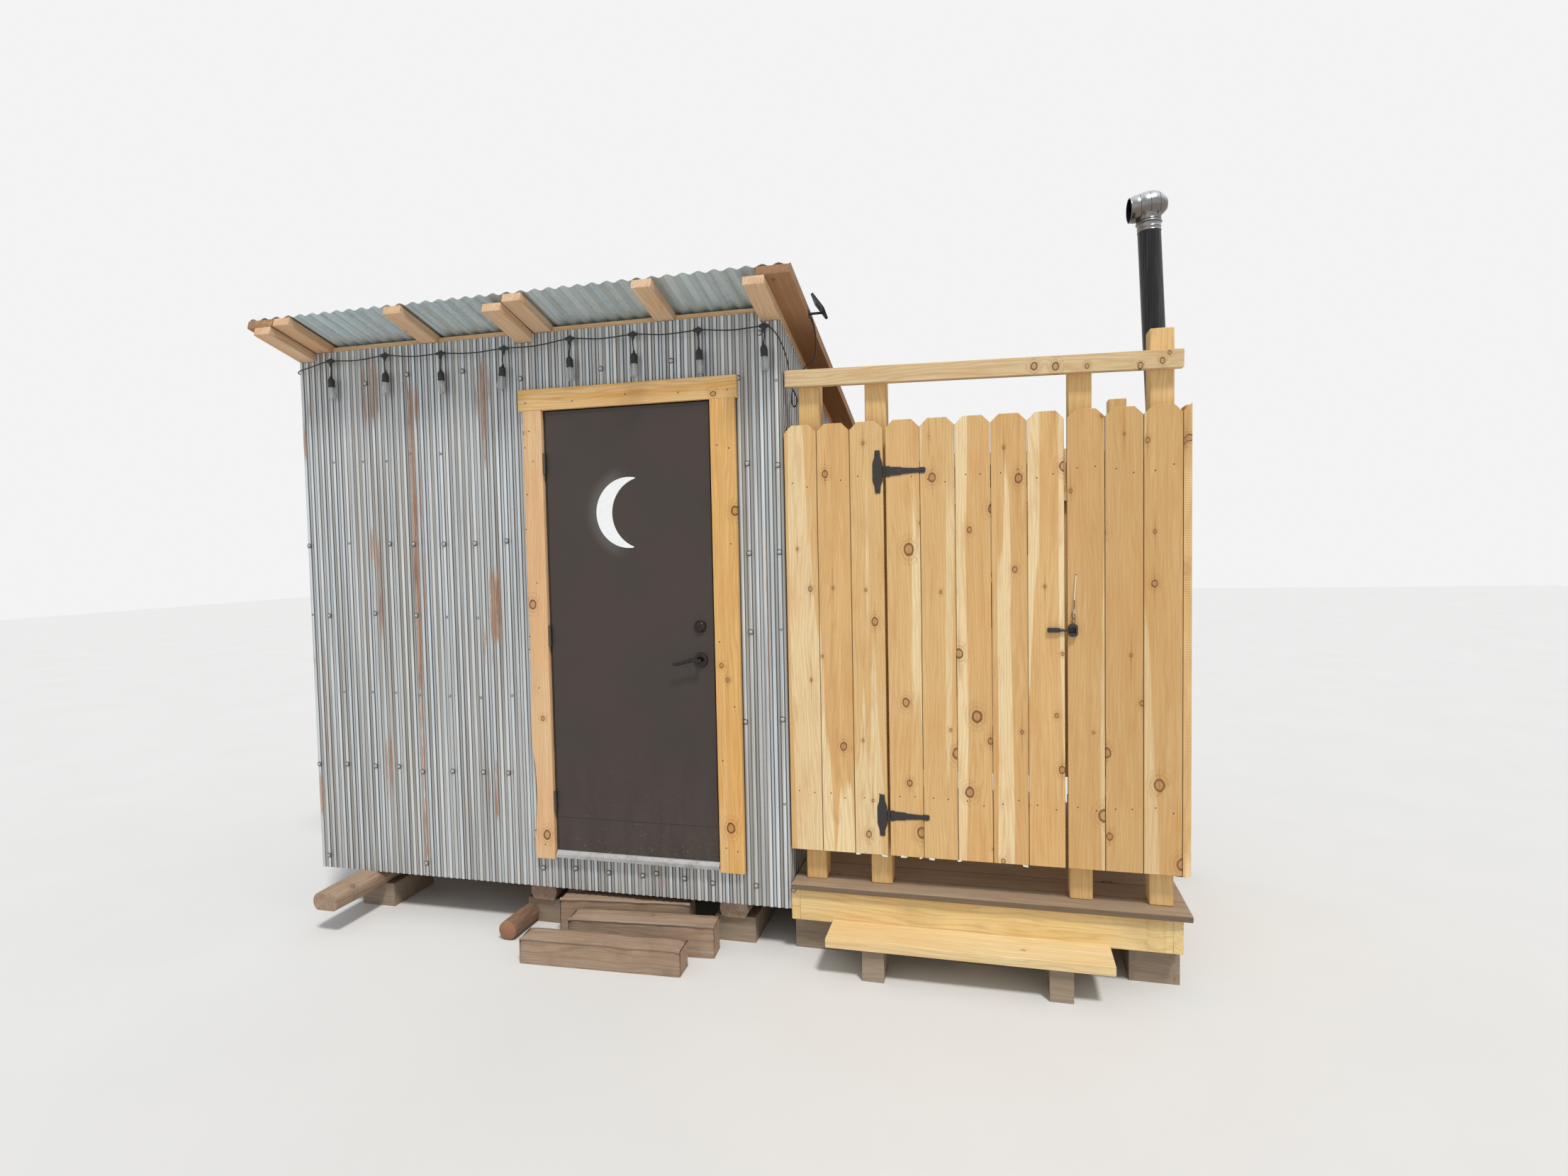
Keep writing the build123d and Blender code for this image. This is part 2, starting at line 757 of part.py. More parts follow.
def fence_corner_strip():
    """The narrow strip that closes the corner, nailed to the side fence's first picket."""
    left = right_fence_left + right_pickets * picket_pitch
    strip = extrude(picket_strip(left, corner_strip_width), picket_thickness)
    return Pos(0, fence_face + picket_thickness, picket_bottom) * Rot(90, 0, 0) * strip


def fence_side_panel():
    """The pickets along the enclosure's right side, from the front corner to the back."""
    start = post_face - board + seat
    row = Pos(side_picket_x + picket_thickness, start, 0) * Rot(0, 0, 90) * filled_row(back_picket_y - start)
    rails = [Pos(side_picket_x, 0, 0) * Rot(0, 0, 90) * rail
             for rail in fence_rails(post_face, back_rail_y, 0)]
    return fused(row, rails)


def fence_back_panel():
    """The pickets across the enclosure's back."""
    start = shed_width + fence_gap
    end = side_rail_x + board
    row = Pos(end, back_picket_y + picket_thickness, 0) * Rot(0, 0, 180) * filled_row(end - start)
    return fused(row, fence_rails(start, end, back_rail_y))


def gate_leaf():
    """The gate: five pickets on two rails and a brace that rises from the hinge side's foot."""
    row = Pos(0, fence_face, 0) * picket_row(gate_left, gate_pickets)
    inset = gate_gap / 2
    rails = fence_rails(gate_left + inset, gate_right - inset, post_face - board)
    low = picket_bottom + fence_rail_levels[0] + fence_rail_height
    high = picket_bottom + fence_rail_levels[1]
    left = gate_left + inset
    right = gate_right - inset
    face = make_face(Polyline((left, low), (left + brace_width, low), (right, high), (right - brace_width, high),
                              close=True))
    brace = Pos(0, post_face, 0) * Rot(90, 0, 0) * extrude(face, board)
    return fused(row, rails + [brace])


def gate_straps():
    """The gate's halves of the T hinges and the striker bar of its latch."""
    pieces = []
    for level in strap_levels:
        z = picket_bottom + level
        start = gate_left + strap_clear
        end = gate_pin_x + strap_length
        face = make_face(Polyline((start, -strap_root / 2), (end, -strap_tip / 2), (end + strap_point, 0),
                                  (end, strap_tip / 2), (start, strap_root / 2), close=True))
        strap = Pos(0, fence_face, z) * Rot(90, 0, 0) * extrude(face, strap_thickness)
        knuckle = Pos(gate_pin_x, gate_pin_y, z) * Cylinder(knuckle_radius, strap_root / 3)
        arm = block(gate_pin_x, start + strap_clear, fence_face - strap_thickness, fence_face, z - strap_root / 6,
                    z + strap_root / 6)
        knuckle = knuckle + arm
        knuckle -= Pos(gate_pin_x, gate_pin_y, z) * Cylinder(pin_radius + seat, strap_root)
        pieces.append(strap + knuckle)
    z = picket_bottom + latch_level
    bar_left = gate_right - latch_bar_reach
    plate = block(bar_left, bar_left + latch_plate_width, fence_face - strap_thickness, fence_face,
                  z - latch_plate_height / 2, z + latch_plate_height / 2)
    bar_y = fence_face - strap_thickness - latch_bar_radius
    bar_length = latch_bar_reach + gate_gap
    bar = Pos(bar_left + bar_length / 2, bar_y, z) * Rot(0, 90, 0) * Cylinder(latch_bar_radius, bar_length)
    pieces.append(plate + bar)
    return pieces


def gate_plates():
    """The fixed plates and pins of the T hinges."""
    pieces = []
    third = strap_root / 3
    for level in strap_levels:
        z = picket_bottom + level
        right = gate_pin_x - knuckle_radius - strap_clear
        plate = block(right - strap_plate_width, right, fence_face - strap_thickness, fence_face,
                      z - strap_plate_height / 2, z + strap_plate_height / 2)
        knuckles = [Pos(gate_pin_x, gate_pin_y, z + side * (third + seat)) * Cylinder(knuckle_radius, third)
                    for side in (-1, 1)]
        arms = [block(right, gate_pin_x, fence_face - strap_thickness, fence_face,
                      z + side * (third + seat) - third / 2, z + side * (third + seat) + third / 2)
                for side in (-1, 1)]
        pin = Pos(gate_pin_x, gate_pin_y, z) * Cylinder(pin_radius, strap_root / 2)
        pieces.append(fused(plate, knuckles + arms + [pin]))
    return pieces


def gate_latch():
    """The catch on the fence beside the gate, open at its front for the bar, and its pull wire."""
    left = right_fence_left + latch_wall / 4
    z = picket_bottom + latch_level
    body = block(left, left + latch_width, fence_face - latch_depth, fence_face, z - latch_height / 2,
                 z + latch_height / 2)
    bar_y = fence_face - strap_thickness - latch_bar_radius
    slot = latch_bar_radius + latch_slot_clear
    body -= block(left - latch_wall, left + latch_width - latch_wall, fence_face - 2 * latch_depth, bar_y + slot,
                  z - slot, z + slot)
    eye_x = left + latch_width / 2
    wire_foot = z + latch_height / 2 - latch_wire_radius
    wire_top = picket_bottom + latch_pull_hole
    wire_y = fence_face - latch_wall
    route = Polyline((eye_x, wire_y, wire_foot), (eye_x, wire_y, wire_top - latch_wall),
                     (eye_x, fence_face - latch_wire_radius, wire_top))
    wire = sweep(Plane(route @ 0, z_dir=(0, 0, 1)) * RegularPolygon(latch_wire_radius, 6), route,
                 transition=Transition.RIGHT)
    return body + wire


def step_timbers():
    """Three old timbers laid as steps in front of the door, each lower than the one behind."""
    steps = []
    rows = zip(timber_heights, timber_lefts, timber_fronts, timber_lengths, timber_turns)
    for height, left, front, length, turn in rows:
        timber = block(0, length, 0, timber_width, 0, height)
        timber = chamfer(timber.edges().filter_by(Axis.X), timber_chamfer)
        steps.append(Pos(left, front, 0) * Rot(0, 0, turn) * timber)
    return steps


def step_board():
    """The loose board laid as a step in front of the deck."""
    right = step_board_left + step_board_length
    return block(step_board_left, right, -step_board_width - seat, -seat, step_board_top - board, step_board_top)


def pipe_frame():
    """Where the vent pipe stands, leaning a little to the left."""
    return Pos(pipe_x, pipe_y, 0) * Rot(0, -pipe_lean, 0)


def vent_pipe():
    """The black pipe, cut level where it stands on the ground."""
    tube = Pos(0, 0, pipe_length / 2 - 10.0) * Cylinder(pipe_radius, pipe_length + 20.0)
    tube -= Pos(0, 0, pipe_length / 2 - 10.0) * Cylinder(pipe_radius - pipe_wall, pipe_length + 40.0)
    ground = block(pipe_x - 300, pipe_x + 300, pipe_y - 300, pipe_y + 300, -100, 0)
    return pipe_frame() * tube - ground


def vent_collar():
    """The bright sleeve over the pipe's top, with a bead at its rim and a spigot that the cowl turns on."""
    bore = pipe_radius + seat
    sleeve = bore + collar_wall
    rim = sleeve + collar_bead
    top = pipe_length + collar_rim
    profile = Polyline((bore, pipe_length - collar_overlap), (sleeve, pipe_length - collar_overlap),
                       (sleeve, pipe_length - collar_rim), (rim, pipe_length - collar_rim), (rim, top),
                       (spigot_radius, top), (spigot_radius, pipe_length + spigot_height),
                       (spigot_radius - collar_wall, pipe_length + spigot_height),
                       (spigot_radius - collar_wall, pipe_length + seat), (bore, pipe_length + seat), close=True)
    return pipe_frame() * revolve(make_face(Plane.XZ * profile), Axis.Z)


def hood_body(inset, lead):
    """The hood as a solid of straight-sided rings about X, taken in by the inset and led out at its mouth."""
    outline = [(x, radius - inset) for x, radius in hood_rings]
    outline[-1] = (outline[-1][0] - inset, outline[-1][1])
    outline[0] = (outline[0][0] - lead, outline[0][1])
    face = make_face(Polyline((outline[0][0], 0), *outline, (outline[-1][0], 0), close=True))
    return revolve(face, Axis.X)


def cowl():
    """The hood that turns with the wind: four tapering rings on a neck, with a crown of tabs at its foot."""
    mouth, mouth_radius = hood_rings[0]
    bead = Rot(0, 90, 0) * Cylinder(mouth_radius + hood_bead / 2, hood_bead)
    bead = Pos(mouth + hood_bead / 2, 0, hood_level) * bead
    foot = pipe_length + collar_rim + cowl_gap
    rise = hood_level - foot
    neck = Pos(0, 0, foot + rise / 2) * Cylinder(cowl_neck_radius, rise)
    crown = Pos(0, 0, foot + crown_height / 2) * Cylinder(crown_radius, crown_height)
    for i in range(crown_tabs):
        turn = Rot(0, 0, i * 360.0 / crown_tabs)
        crown -= turn * Pos(crown_radius, 0, foot + crown_height) * Rot(45, 0, 0) * Box(20.0, 14.0, 14.0)
    shell = Pos(0, 0, hood_level) * hood_body(0.0, 0.0) + bead + neck + crown
    shell -= Pos(0, 0, hood_level) * hood_body(cowl_wall, crown_height)
    shell -= Pos(0, 0, foot + rise / 2) * Cylinder(cowl_neck_radius - cowl_wall, rise + cowl_wall)
    return pipe_frame() * Rot(0, 0, hood_turn) * shell.solids().sort_by(SortBy.VOLUME)[-1]


def pipe_strap():
    """The band that ties the pipe to the enclosure's corner."""
    lean = math.radians(pipe_lean)
    bore = pipe_radius + seat
    outer = bore + band_thickness
    face = side_picket_x + picket_thickness
    reach = (pipe_x - band_level * math.tan(lean) - face) * math.cos(lean)
    band = Circle(outer) + Pos(-reach / 2, 0) * Rectangle(reach - band_thickness, 2 * band_thickness) - Circle(bore)
    band = Pos(0, 0, band_level / math.cos(lean) - band_width / 2) * extrude(band, band_width)
    foot = block(face, face + 2 * band_thickness, pipe_y - band_foot / 2, pipe_y + band_foot / 2,
                 band_level - band_width / 2, band_level + band_width / 2)
    return pipe_frame() * band + foot


def hook_places():
    """Where the string lights hang along the front wall."""
    return [(hook_first + i * hook_spacing + across, hook_proud, hook_level + up)
            for i, (across, up) in enumerate(hook_shifts)]


def light_cable():
    """The string lights' cable: from the left side along the front, down the right corner and up to the panel."""
    places = hook_places()
    first, last = places[0], places[-1]
    points = [(-8.0, 260.0, hook_level - 70.0), (-12.0, 60.0, hook_level - 42.0),
              (-14.0, -18.0, hook_level - 36.0), (first[0] / 2, hook_proud, hook_level - 16.0)]
    for i, (x, y, z) in enumerate(places):
        points += [(x - clip_hold, y, z), (x + clip_hold, y, z)]
        if i + 1 < len(places):
            after = places[i + 1]
            points.append(((x + after[0]) / 2, y, (z + after[2]) / 2 - cable_sag))
    corner = shed_width
    board_edge = fly_right + fly_width + cable_radius + seat
    points += [(corner, -18.0, hook_level - 70.0), (corner + 14.0, 20.0, hook_level - 122.0),
               (corner + 17.0, 64.0, hook_level - 172.0), (corner + 18.0, 68.0, hook_level - 250.0),
               (corner + 52.0, 50.0, hook_level - 300.0), (corner + 56.0, 50.0, hook_level - 330.0),
               (corner + 40.0, 66.0, hook_level - 352.0), (corner + 14.0, 110.0, hook_level - 320.0),
               (corner + 14.0, 150.0, hook_level - 230.0), (corner + 60.0, 186.0, hook_level - 149.0),
               (board_edge, 205.0, hook_level - 120.0)]
    for y in (panel_back + 130.0, panel_back + 30.0):
        points.append((board_edge, y, rafter_underside(y) + board / 2))
    route = Polyline(*points)
    print("cable length", round(route.length))
    section = Plane(route @ 0, z_dir=route % 0) * RegularPolygon(cable_radius, 6)
    return sweep(section, route, transition=Transition.RIGHT)


def light_sockets():
    """Each light's clip round the cable, its drop wire and its socket."""
    pieces = []
    channel = cable_radius + seat
    for x, y, z in hook_places():
        clip = block(x - clip_width / 2, x + clip_width / 2, -clip_depth, -seat, z - clip_height / 2,
                     z + clip_height / 2)
        clip -= block(x - clip_width, x + clip_width, y - channel, y + channel, z - channel, z + channel)
        wire_foot = z - clip_height / 2 - drop_length
        wire = Pos(x, y, wire_foot) * extrude(RegularPolygon(drop_radius, 8), drop_length)
        socket = Pos(x, y, wire_foot - socket_length) * extrude(RegularPolygon(socket_radius, 12), socket_length)
        pieces.append(fused(clip, [wire, socket]))
    return pieces


def light_bulbs():
    """Clear bulbs, narrow at the socket and round below."""
    sections = ((0.0, bulb_neck), (0.25, bulb_neck), (0.55, bulb_radius), (0.82, bulb_radius * 0.8),
                (1.0, bulb_neck / 2))
    faces = [Pos(0, 0, -share * bulb_length) * RegularPolygon(radius, bulb_sides) for share, radius in sections]
    bulb = loft(faces, ruled=True)
    drop = clip_height / 2 + drop_length + socket_length
    return [Pos(x, y, z - drop) * bulb for x, y, z in hook_places()]


def solar_panel():
    """The lights' small solar panel on an arm from the right fly board's edge."""
    edge = fly_right + fly_width
    place = roof * Pos(edge, panel_back, board / 2)
    foot = place * Pos(2.0, 0, 0) * Box(4.0, 30.0, 26.0)
    arm = place * Pos(panel_arm / 2, 0, 0) * Box(panel_arm, 10.0, 8.0)
    head = place * Pos(panel_arm, 0, 0) * Rot(0, 90 - panel_tilt, 0) * Pos(-panel_rise, 0, 0)
    panel = head * Pos(0, 0, panel_thickness / 2) * Box(panel_size, panel_size, panel_thickness)
    return fused(foot, [arm, panel])


def build():
    """Every node of the outhouse by name, in working coordinates."""
    trim_left, trim_right, trim_head = trims()
    sheet_top = rafter_underside(wall_skin) - seat
    left_edge = opening_left - seat
    right_edge = opening_right + seat
    return {
        "skids": skids(),
        "chock": chock(),
        "foundation_blocks": foundation_blocks(),
        "floor_frame": floor_frame(),
        "floor": floor(),
        "front_wall_frame": front_frame(),
        "side_wall_frames": side_frames(),
        "back_wall_frame": back_frame(),
        "front_wall_left": front_sheet(0.0, left_edge, metal_bottom, sheet_top),
        "front_wall_right": front_sheet(right_edge, shed_width, metal_bottom, sheet_top),
        "front_wall_over_door": front_sheet(opening_left, opening_right, opening_top + seat, sheet_top),
        "front_wall_under_door": front_sheet(opening_left, opening_right, metal_bottom, floor_top - seat),
        "left_wall": side_wall(-90, 0, shed_depth - frame_front),
        "right_wall": side_wall(90, shed_width, frame_front),
        "back_wall": back_wall(),
        "roof": roof_sheet(),
        "rafters": rafters(),
        "fly_boards": fly_boards(),
        "eave_strips": eave_strips(),
        "door_frame": door_frame(),
        "threshold": threshold(),
        "door_trim_left": trim_left,
        "door_trim_right": trim_right,
        "door_trim_head": trim_head,
        "jamb_hinges": jamb_hinges(),
        "door": door_slab(),
        "door_hinges": door_hinges(),
        "door_moon": door_moon(),
        "door_lock": door_lock(),
        "door_lever": door_lever(),
        "light_cable": light_cable(),
        "light_sockets": light_sockets(),
        "light_bulbs": light_bulbs(),
        "solar_panel": solar_panel(),
        "deck_frame": deck_frame(),
        "deck_boards": deck_boards(),
        "posts": posts(),
        "top_rail": top_rail(),
        "fence_left": fence_left_panel(),
        "fence_right": fence_right_panel(),
        "fence_corner_strip": fence_corner_strip(),
        "fence_side": fence_side_panel(),
        "fence_back": fence_back_panel(),
        "gate_plates": gate_plates(),
        "gate_latch": gate_latch(),
        "gate": gate_leaf(),
        "gate_straps": gate_straps(),
        "step_timbers": step_timbers(),
        "step_board": step_board(),
        "vent_pipe": vent_pipe(),
        "vent_collar": vent_collar(),
        "pipe_strap": pipe_strap(),
        "cowl": cowl(),
    }


def as_part(shape):
    """One shape or a list of shapes as a single compound of its solids."""
    shapes = shape if isinstance(shape, list) else [shape]
    solids = [solid for piece in shapes for solid in piece.solids()]
    return solids[0] if len(solids) == 1 else Compound(children=solids)


nodes = {name: as_part(shape) for name, shape in build().items()}

# The finished part stands on z = 0 with its origin under the middle of its box.
boxes = [node.bounding_box() for node in nodes.values()]
middle_x = (min(b.min.X for b in boxes) + max(b.max.X for b in boxes)) / 2
middle_y = (min(b.min.Y for b in boxes) + max(b.max.Y for b in boxes)) / 2
origin = Pos(-middle_x, -middle_y, 0)

os.makedirs("parts", exist_ok=True)
for name, node in nodes.items():
    export_step(origin * node, f"parts/{name}.step")
print("origin shift", round(middle_x, 3), round(middle_y, 3))
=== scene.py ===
# %% [markdown]
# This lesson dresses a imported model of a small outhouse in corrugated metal, with a fenced cedar
# shower enclosure beside it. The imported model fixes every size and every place, so the first step
# is to load it and to keep its box. Each later cell makes one piece or one finish.

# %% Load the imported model
import bpy
import math
import random
from mathutils import Matrix, Vector, noise


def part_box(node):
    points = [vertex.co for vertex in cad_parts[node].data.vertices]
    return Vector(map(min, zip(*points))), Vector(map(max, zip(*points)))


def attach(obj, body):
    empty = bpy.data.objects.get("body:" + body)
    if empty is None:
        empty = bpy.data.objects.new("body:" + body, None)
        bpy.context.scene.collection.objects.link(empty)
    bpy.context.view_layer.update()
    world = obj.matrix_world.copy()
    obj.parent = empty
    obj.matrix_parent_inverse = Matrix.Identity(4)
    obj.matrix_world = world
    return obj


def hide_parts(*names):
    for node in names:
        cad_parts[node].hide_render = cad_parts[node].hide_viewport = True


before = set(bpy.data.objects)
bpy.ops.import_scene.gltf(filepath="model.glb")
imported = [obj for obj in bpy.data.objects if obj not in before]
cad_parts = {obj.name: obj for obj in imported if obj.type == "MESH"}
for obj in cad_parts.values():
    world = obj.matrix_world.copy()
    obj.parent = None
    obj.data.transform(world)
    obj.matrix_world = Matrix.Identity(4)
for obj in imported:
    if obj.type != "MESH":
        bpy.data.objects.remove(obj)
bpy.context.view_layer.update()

# %% [markdown]
# The sizes below are the model's own, in millimetres: X to the right from the shed's left corner,
# Y to the back from the front sheets' crests, Z up from the ground. One known corner of the floor
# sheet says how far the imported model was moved, so at() can turn any of these places into metres.

# %% Places in millimetres
FLOOR_CORNER = 14.0
floor_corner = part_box("floor")[0]
MOVE_X = FLOOR_CORNER - floor_corner.x * 1000
MOVE_Y = FLOOR_CORNER - floor_corner.y * 1000


def at(x, y, z):
    """A place in the model's millimetres as metres in the scene."""
    return Vector(((x - MOVE_X) / 1000, (y - MOVE_Y) / 1000, z / 1000))


SHED_W, SHED_D = 2470.0, 1857.0
METAL_FOOT = 200.0
EAVE = 2788.0
PITCH = math.radians(15.0)
WAVE, DEPTH = 67.7, 12.7
SEAT = 0.3      # the hair of air between two neighbours
TIMBER, RAFTER, FLY = 38.0, 89.0, 140.0
FRONT, BACK, RIGHT, UP = (0, -1, 0), (0, 1, 0), (1, 0, 0), (0, 0, 1)
print("the origin lies at", round(MOVE_X, 2), round(MOVE_Y, 2))

# %% [markdown]
# The camera stands where the photographer stood, to the right of the middle and a little below the
# eye. The lens and the small tilts come from lining up the door, the corners and the fence.

# %% Camera
camera_data = bpy.data.cameras.new("camera")
camera_data.sensor_width = 36.0
camera_data.lens = 18.97
camera_data.clip_end = 200.0
camera = bpy.data.objects.new("camera", camera_data)
bpy.context.scene.collection.objects.link(camera)
stand = Matrix.Translation(at(3339.4, -3439.1, 1770.7))
for angle, axis in ((0.2495, "Z"), (-0.0462, "X"), (0.0199, "Y"), (math.pi / 2, "X")):
    stand = stand @ Matrix.Rotation(angle, 4, axis)
camera.matrix_world = stand
bpy.context.scene.camera = camera
bpy.context.scene.view_settings.view_transform = "Standard"
print("camera at", [round(v, 3) for v in camera.matrix_world.translation])

# %% [markdown]
# A material in Blender is a graph of nodes. Reading a long graph is hard, so here the sums are
# written as Python sums. A Wire holds one socket, and adding or multiplying two Wires adds the Math
# node between them. Anything that isn't a sum comes from one method, node(), which takes the
# node's type, its settings and what goes into its sockets. Plain finishes come from painted().

# %% Shader sums
class Wire:
    """One socket of a material that can be added, taken away, multiplied and divided."""

    def __init__(self, look, socket):
        self.look = look
        self.socket = socket

    def sum(self, operation, first, second=0.0, clamp=False):
        settings = {"operation": operation, "use_clamp": clamp}
        return self.look.node("ShaderNodeMath", settings, {0: first, 1: second})

    def __add__(self, other):
        return self.sum("ADD", self, other)

    def __sub__(self, other):
        return self.sum("SUBTRACT", self, other)

    def __rsub__(self, other):
        return self.sum("SUBTRACT", other, self)

    def __mul__(self, other):
        return self.sum("MULTIPLY", self, other)

    def __truediv__(self, other):
        return self.sum("DIVIDE", self, other)

    def __rtruediv__(self, other):
        return self.sum("DIVIDE", other, self)

    def __pow__(self, other):
        return self.sum("POWER", self, other)

    __radd__ = __add__
    __rmul__ = __mul__

    def clipped(self):
        return self.sum("ADD", self, 0.0, clamp=True)

    def size(self):
        return self.sum("ABSOLUTE", self)

    def sine(self):
        return self.sum("SINE", self)

    def step(self, low, high):
        """0 below low, 1 above high and a straight rise between."""
        return ((self - low) / (high - low)).clipped()

    def near(self, value, width):
        """1 at a value and 0 from a width away on."""
        return 1.0 - ((self - value).size() / width).clipped()


class Look:
    """One material while it is being made."""

    def __init__(self, name):
        self.material = bpy.data.materials.new(name)
        self.material.use_nodes = True
        self.tree = self.material.node_tree
        self.surface = self.tree.nodes["Principled BSDF"]

    def node(self, kind, settings=None, inputs=None, output=0):
        new = self.tree.nodes.new(kind)
        for key, value in (settings or {}).items():
            setattr(new, key, value)
        for key, value in (inputs or {}).items():
            self.feed(new.inputs[key], value)
        return Wire(self, new.outputs[output])

    def feed(self, socket, value):
        if isinstance(value, Wire):
            self.tree.links.new(value.socket, socket)
        elif isinstance(value, tuple) and len(value) == 3 and socket.type == "RGBA":
            socket.default_value = (*value, 1.0)
        else:
            socket.default_value = value

    def mix(self, share, first, second):
        settings = {"data_type": "RGBA", "clamp_factor": True}
        return self.node("ShaderNodeMix", settings, {0: share, 6: first, 7: second}, output=2)

    def scaled(self, vector, by):
        return self.node("ShaderNodeVectorMath", {"operation": "MULTIPLY"}, {0: vector, 1: by})

    def moved(self, vector, by):
        return self.node("ShaderNodeVectorMath", {"operation": "ADD"}, {0: vector, 1: by})

    def away_from(self, x, y, z):
        """How far each point lies from a place of the model, as three Wires."""
        return self.parts(self.moved(self.place(), tuple(-v for v in at(x, y, z))))

    def parts(self, vector):
        """The X, Y and Z of a vector as three Wires."""
        split = self.node("ShaderNodeSeparateXYZ", None, {0: vector})
        outputs = split.socket.node.outputs
        return [Wire(self, outputs[i]) for i in range(3)]

    def joined(self, x, y, z):
        return self.node("ShaderNodeCombineXYZ", None, {0: x, 1: y, 2: z})

    def place(self):
        return self.node("ShaderNodeTexCoord", None, None, output=3)

    def stored(self, name, output=1):
        """A value kept at each point of the mesh: output 1 is a vector and 2 a number."""
        return self.node("ShaderNodeAttribute", {"attribute_name": name}, None, output)

    def clouds(self, vector, scale, detail=3.0, rough=0.5):
        values = {"Vector": vector, "Scale": scale, "Detail": detail, "Roughness": rough}
        return self.node("ShaderNodeTexNoise", None, values)

    def drawn_out(self, vector, by, detail=3.0, rough=0.5):
        """Clouds stretched along the axes that have the smaller numbers."""
        return self.clouds(self.scaled(vector, by), 1.0, detail, rough)

    def cells(self, vector, scale, spread=1.0, **settings):
        """The three random numbers of each cell and the place of the cell's middle."""
        inputs = {"Vector": vector, "Scale": scale, "Randomness": spread}
        outputs = self.node("ShaderNodeTexVoronoi", settings, inputs).socket.node.outputs
        return self.parts(Wire(self, outputs["Color"])), Wire(self, outputs["Position"])

    def layered(self, colour, *layers):
        """A colour with others laid over it in turn, each as a share and a colour."""
        for share, tint in layers:
            colour = self.mix(share, colour, tint)
        return colour

    def bump(self, height, strength, distance):
        return self.node("ShaderNodeBump", None, {"Height": height, "Strength": strength, "Distance": distance})

    def finish(self, **sockets):
        for key, value in sockets.items():
            self.feed(self.surface.inputs[key.replace("_", " ")], value)
        return self.material


def shaded(colour, *by, most=1.0):
    """A colour times one factor, or times one factor for each channel."""
    factors = by if len(by) == 3 else by * 3
    return tuple(min(c * factor, most) for c, factor in zip(colour, factors))


def painted(name, first, second, scale, detail=3.0, noise_rough=0.6, window=(0.0, 1.0), share=1.0, rough=0.5,
            rough_change=0.0, bump=(0.1, 0.0004), **sockets):
    """A material of two colours in clouds, which may also change its roughness and its surface."""
    look = Look(name)
    make = look.drawn_out if isinstance(scale, tuple) else look.clouds
    cloud = make(look.place(), scale, detail, noise_rough)
    if bump:
        sockets["Normal"] = look.bump(cloud, *bump)
    return look.finish(Base_Color=look.mix(cloud.step(*window) * share, first, second),
                       Roughness=(rough + cloud * rough_change).clipped() if rough_change else rough, **sockets)


print("shader sums are ready")

# %% [markdown]
# Meshes are made from lists of points. A Shape gathers the points and faces of one piece. Each
# point also stores two things for the shaders: its grain, which is where it lies in its own board
# (across, through and along), and its tone, one number that varies from board to board. Some
# boards also mark their narrow sides, which the wood shader darkens as painted shade in the joints.

# %% Shapes
class Shape:
    """Points and faces of one piece, with the grain and the tone at each point."""

    def __init__(self):
        self.points, self.faces, self.grain, self.tone, self.edge = [], [], [], [], []

    def add(self, points, faces, grain=None, tone=0.5, edge=None):
        start = len(self.points)
        self.points += points
        self.faces += [[start + i for i in face] for face in faces]
        self.grain += grain if grain else points
        self.tone += tone if isinstance(tone, list) else [tone] * len(points)
        self.edge += edge if edge else [0.0] * len(points)

    def loft(self, rings, grain=None, tone=0.5, caps=True, edge=None):
        """Quads between rings of points, with a face over each end."""
        count = len(rings[0])
        points = [point for ring in rings for point in ring]
        faces = []
        for start in range(0, (len(rings) - 1) * count, count):
            for j in range(count):
                k = (j + 1) % count
                faces.append([start + j, start + k, start + count + k, start + count + j])
        if caps:
            faces.append(list(range(count))[::-1])
            faces.append([(len(rings) - 1) * count + j for j in range(count)])
        self.add(points, faces, grain, tone, edge)

    def piece(self, name, material, body="shed", nodes=(), slot=None, angle=35.0):
        """The finished object, riding on its body and standing for its nodes of the model."""
        mesh = bpy.data.meshes.new(name)
        mesh.from_pydata(self.points, [], self.faces)
        mesh.update()
        mesh.shade_smooth()
        mesh.set_sharp_from_angle(angle=math.radians(angle))
        stored = [("grain", "FLOAT_VECTOR", "vector", [v for point in self.grain for v in point]),
                  ("tone", "FLOAT", "value", self.tone)]
        if any(self.edge):
            stored.append(("edge", "FLOAT", "value", self.edge))
        for key, kind, field, values in stored:
            mesh.attributes.new(key, kind, "POINT").data.foreach_set(field, values)
        mesh.materials.append(material)
        new = bpy.data.objects.new(name, mesh)
        bpy.context.scene.collection.objects.link(new)
        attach(new, body)
        if nodes:
            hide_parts(*nodes)
        print(name, len(mesh.vertices), "points", len(mesh.polygons), "faces")
        return new


def put(place, x, y, z):
    """A point of a place's own axes, given in millimetres."""
    return place @ (Vector((x, y, z)) / 1000)


def around(count):
    """Angles in even steps through a full turn."""
    return [2 * math.pi * i / count for i in range(count)]


def eased(x0, x1, y0, y1, ease):
    """A rectangle with its four corners cut off."""
    return ((x0 + ease, y0), (x1 - ease, y0), (x1, y0 + ease), (x1, y1 - ease),
            (x1 - ease, y1), (x0 + ease, y1), (x0, y1 - ease), (x0, y0 + ease))


def oblong(x0, x1, z0, z1):
    return (x0, z0), (x1, z0), (x1, z1), (x0, z1)


def axes(origin, across=RIGHT, along=UP):
    """A board's own axes in the scene: across, through and along, starting at a corner."""
    across, along = Vector(across).normalized(), Vector(along).normalized()
    through = along.cross(across)
    turn = Matrix((across, through, along)).transposed().to_4x4()
    return Matrix.Translation(at(*origin)) @ turn


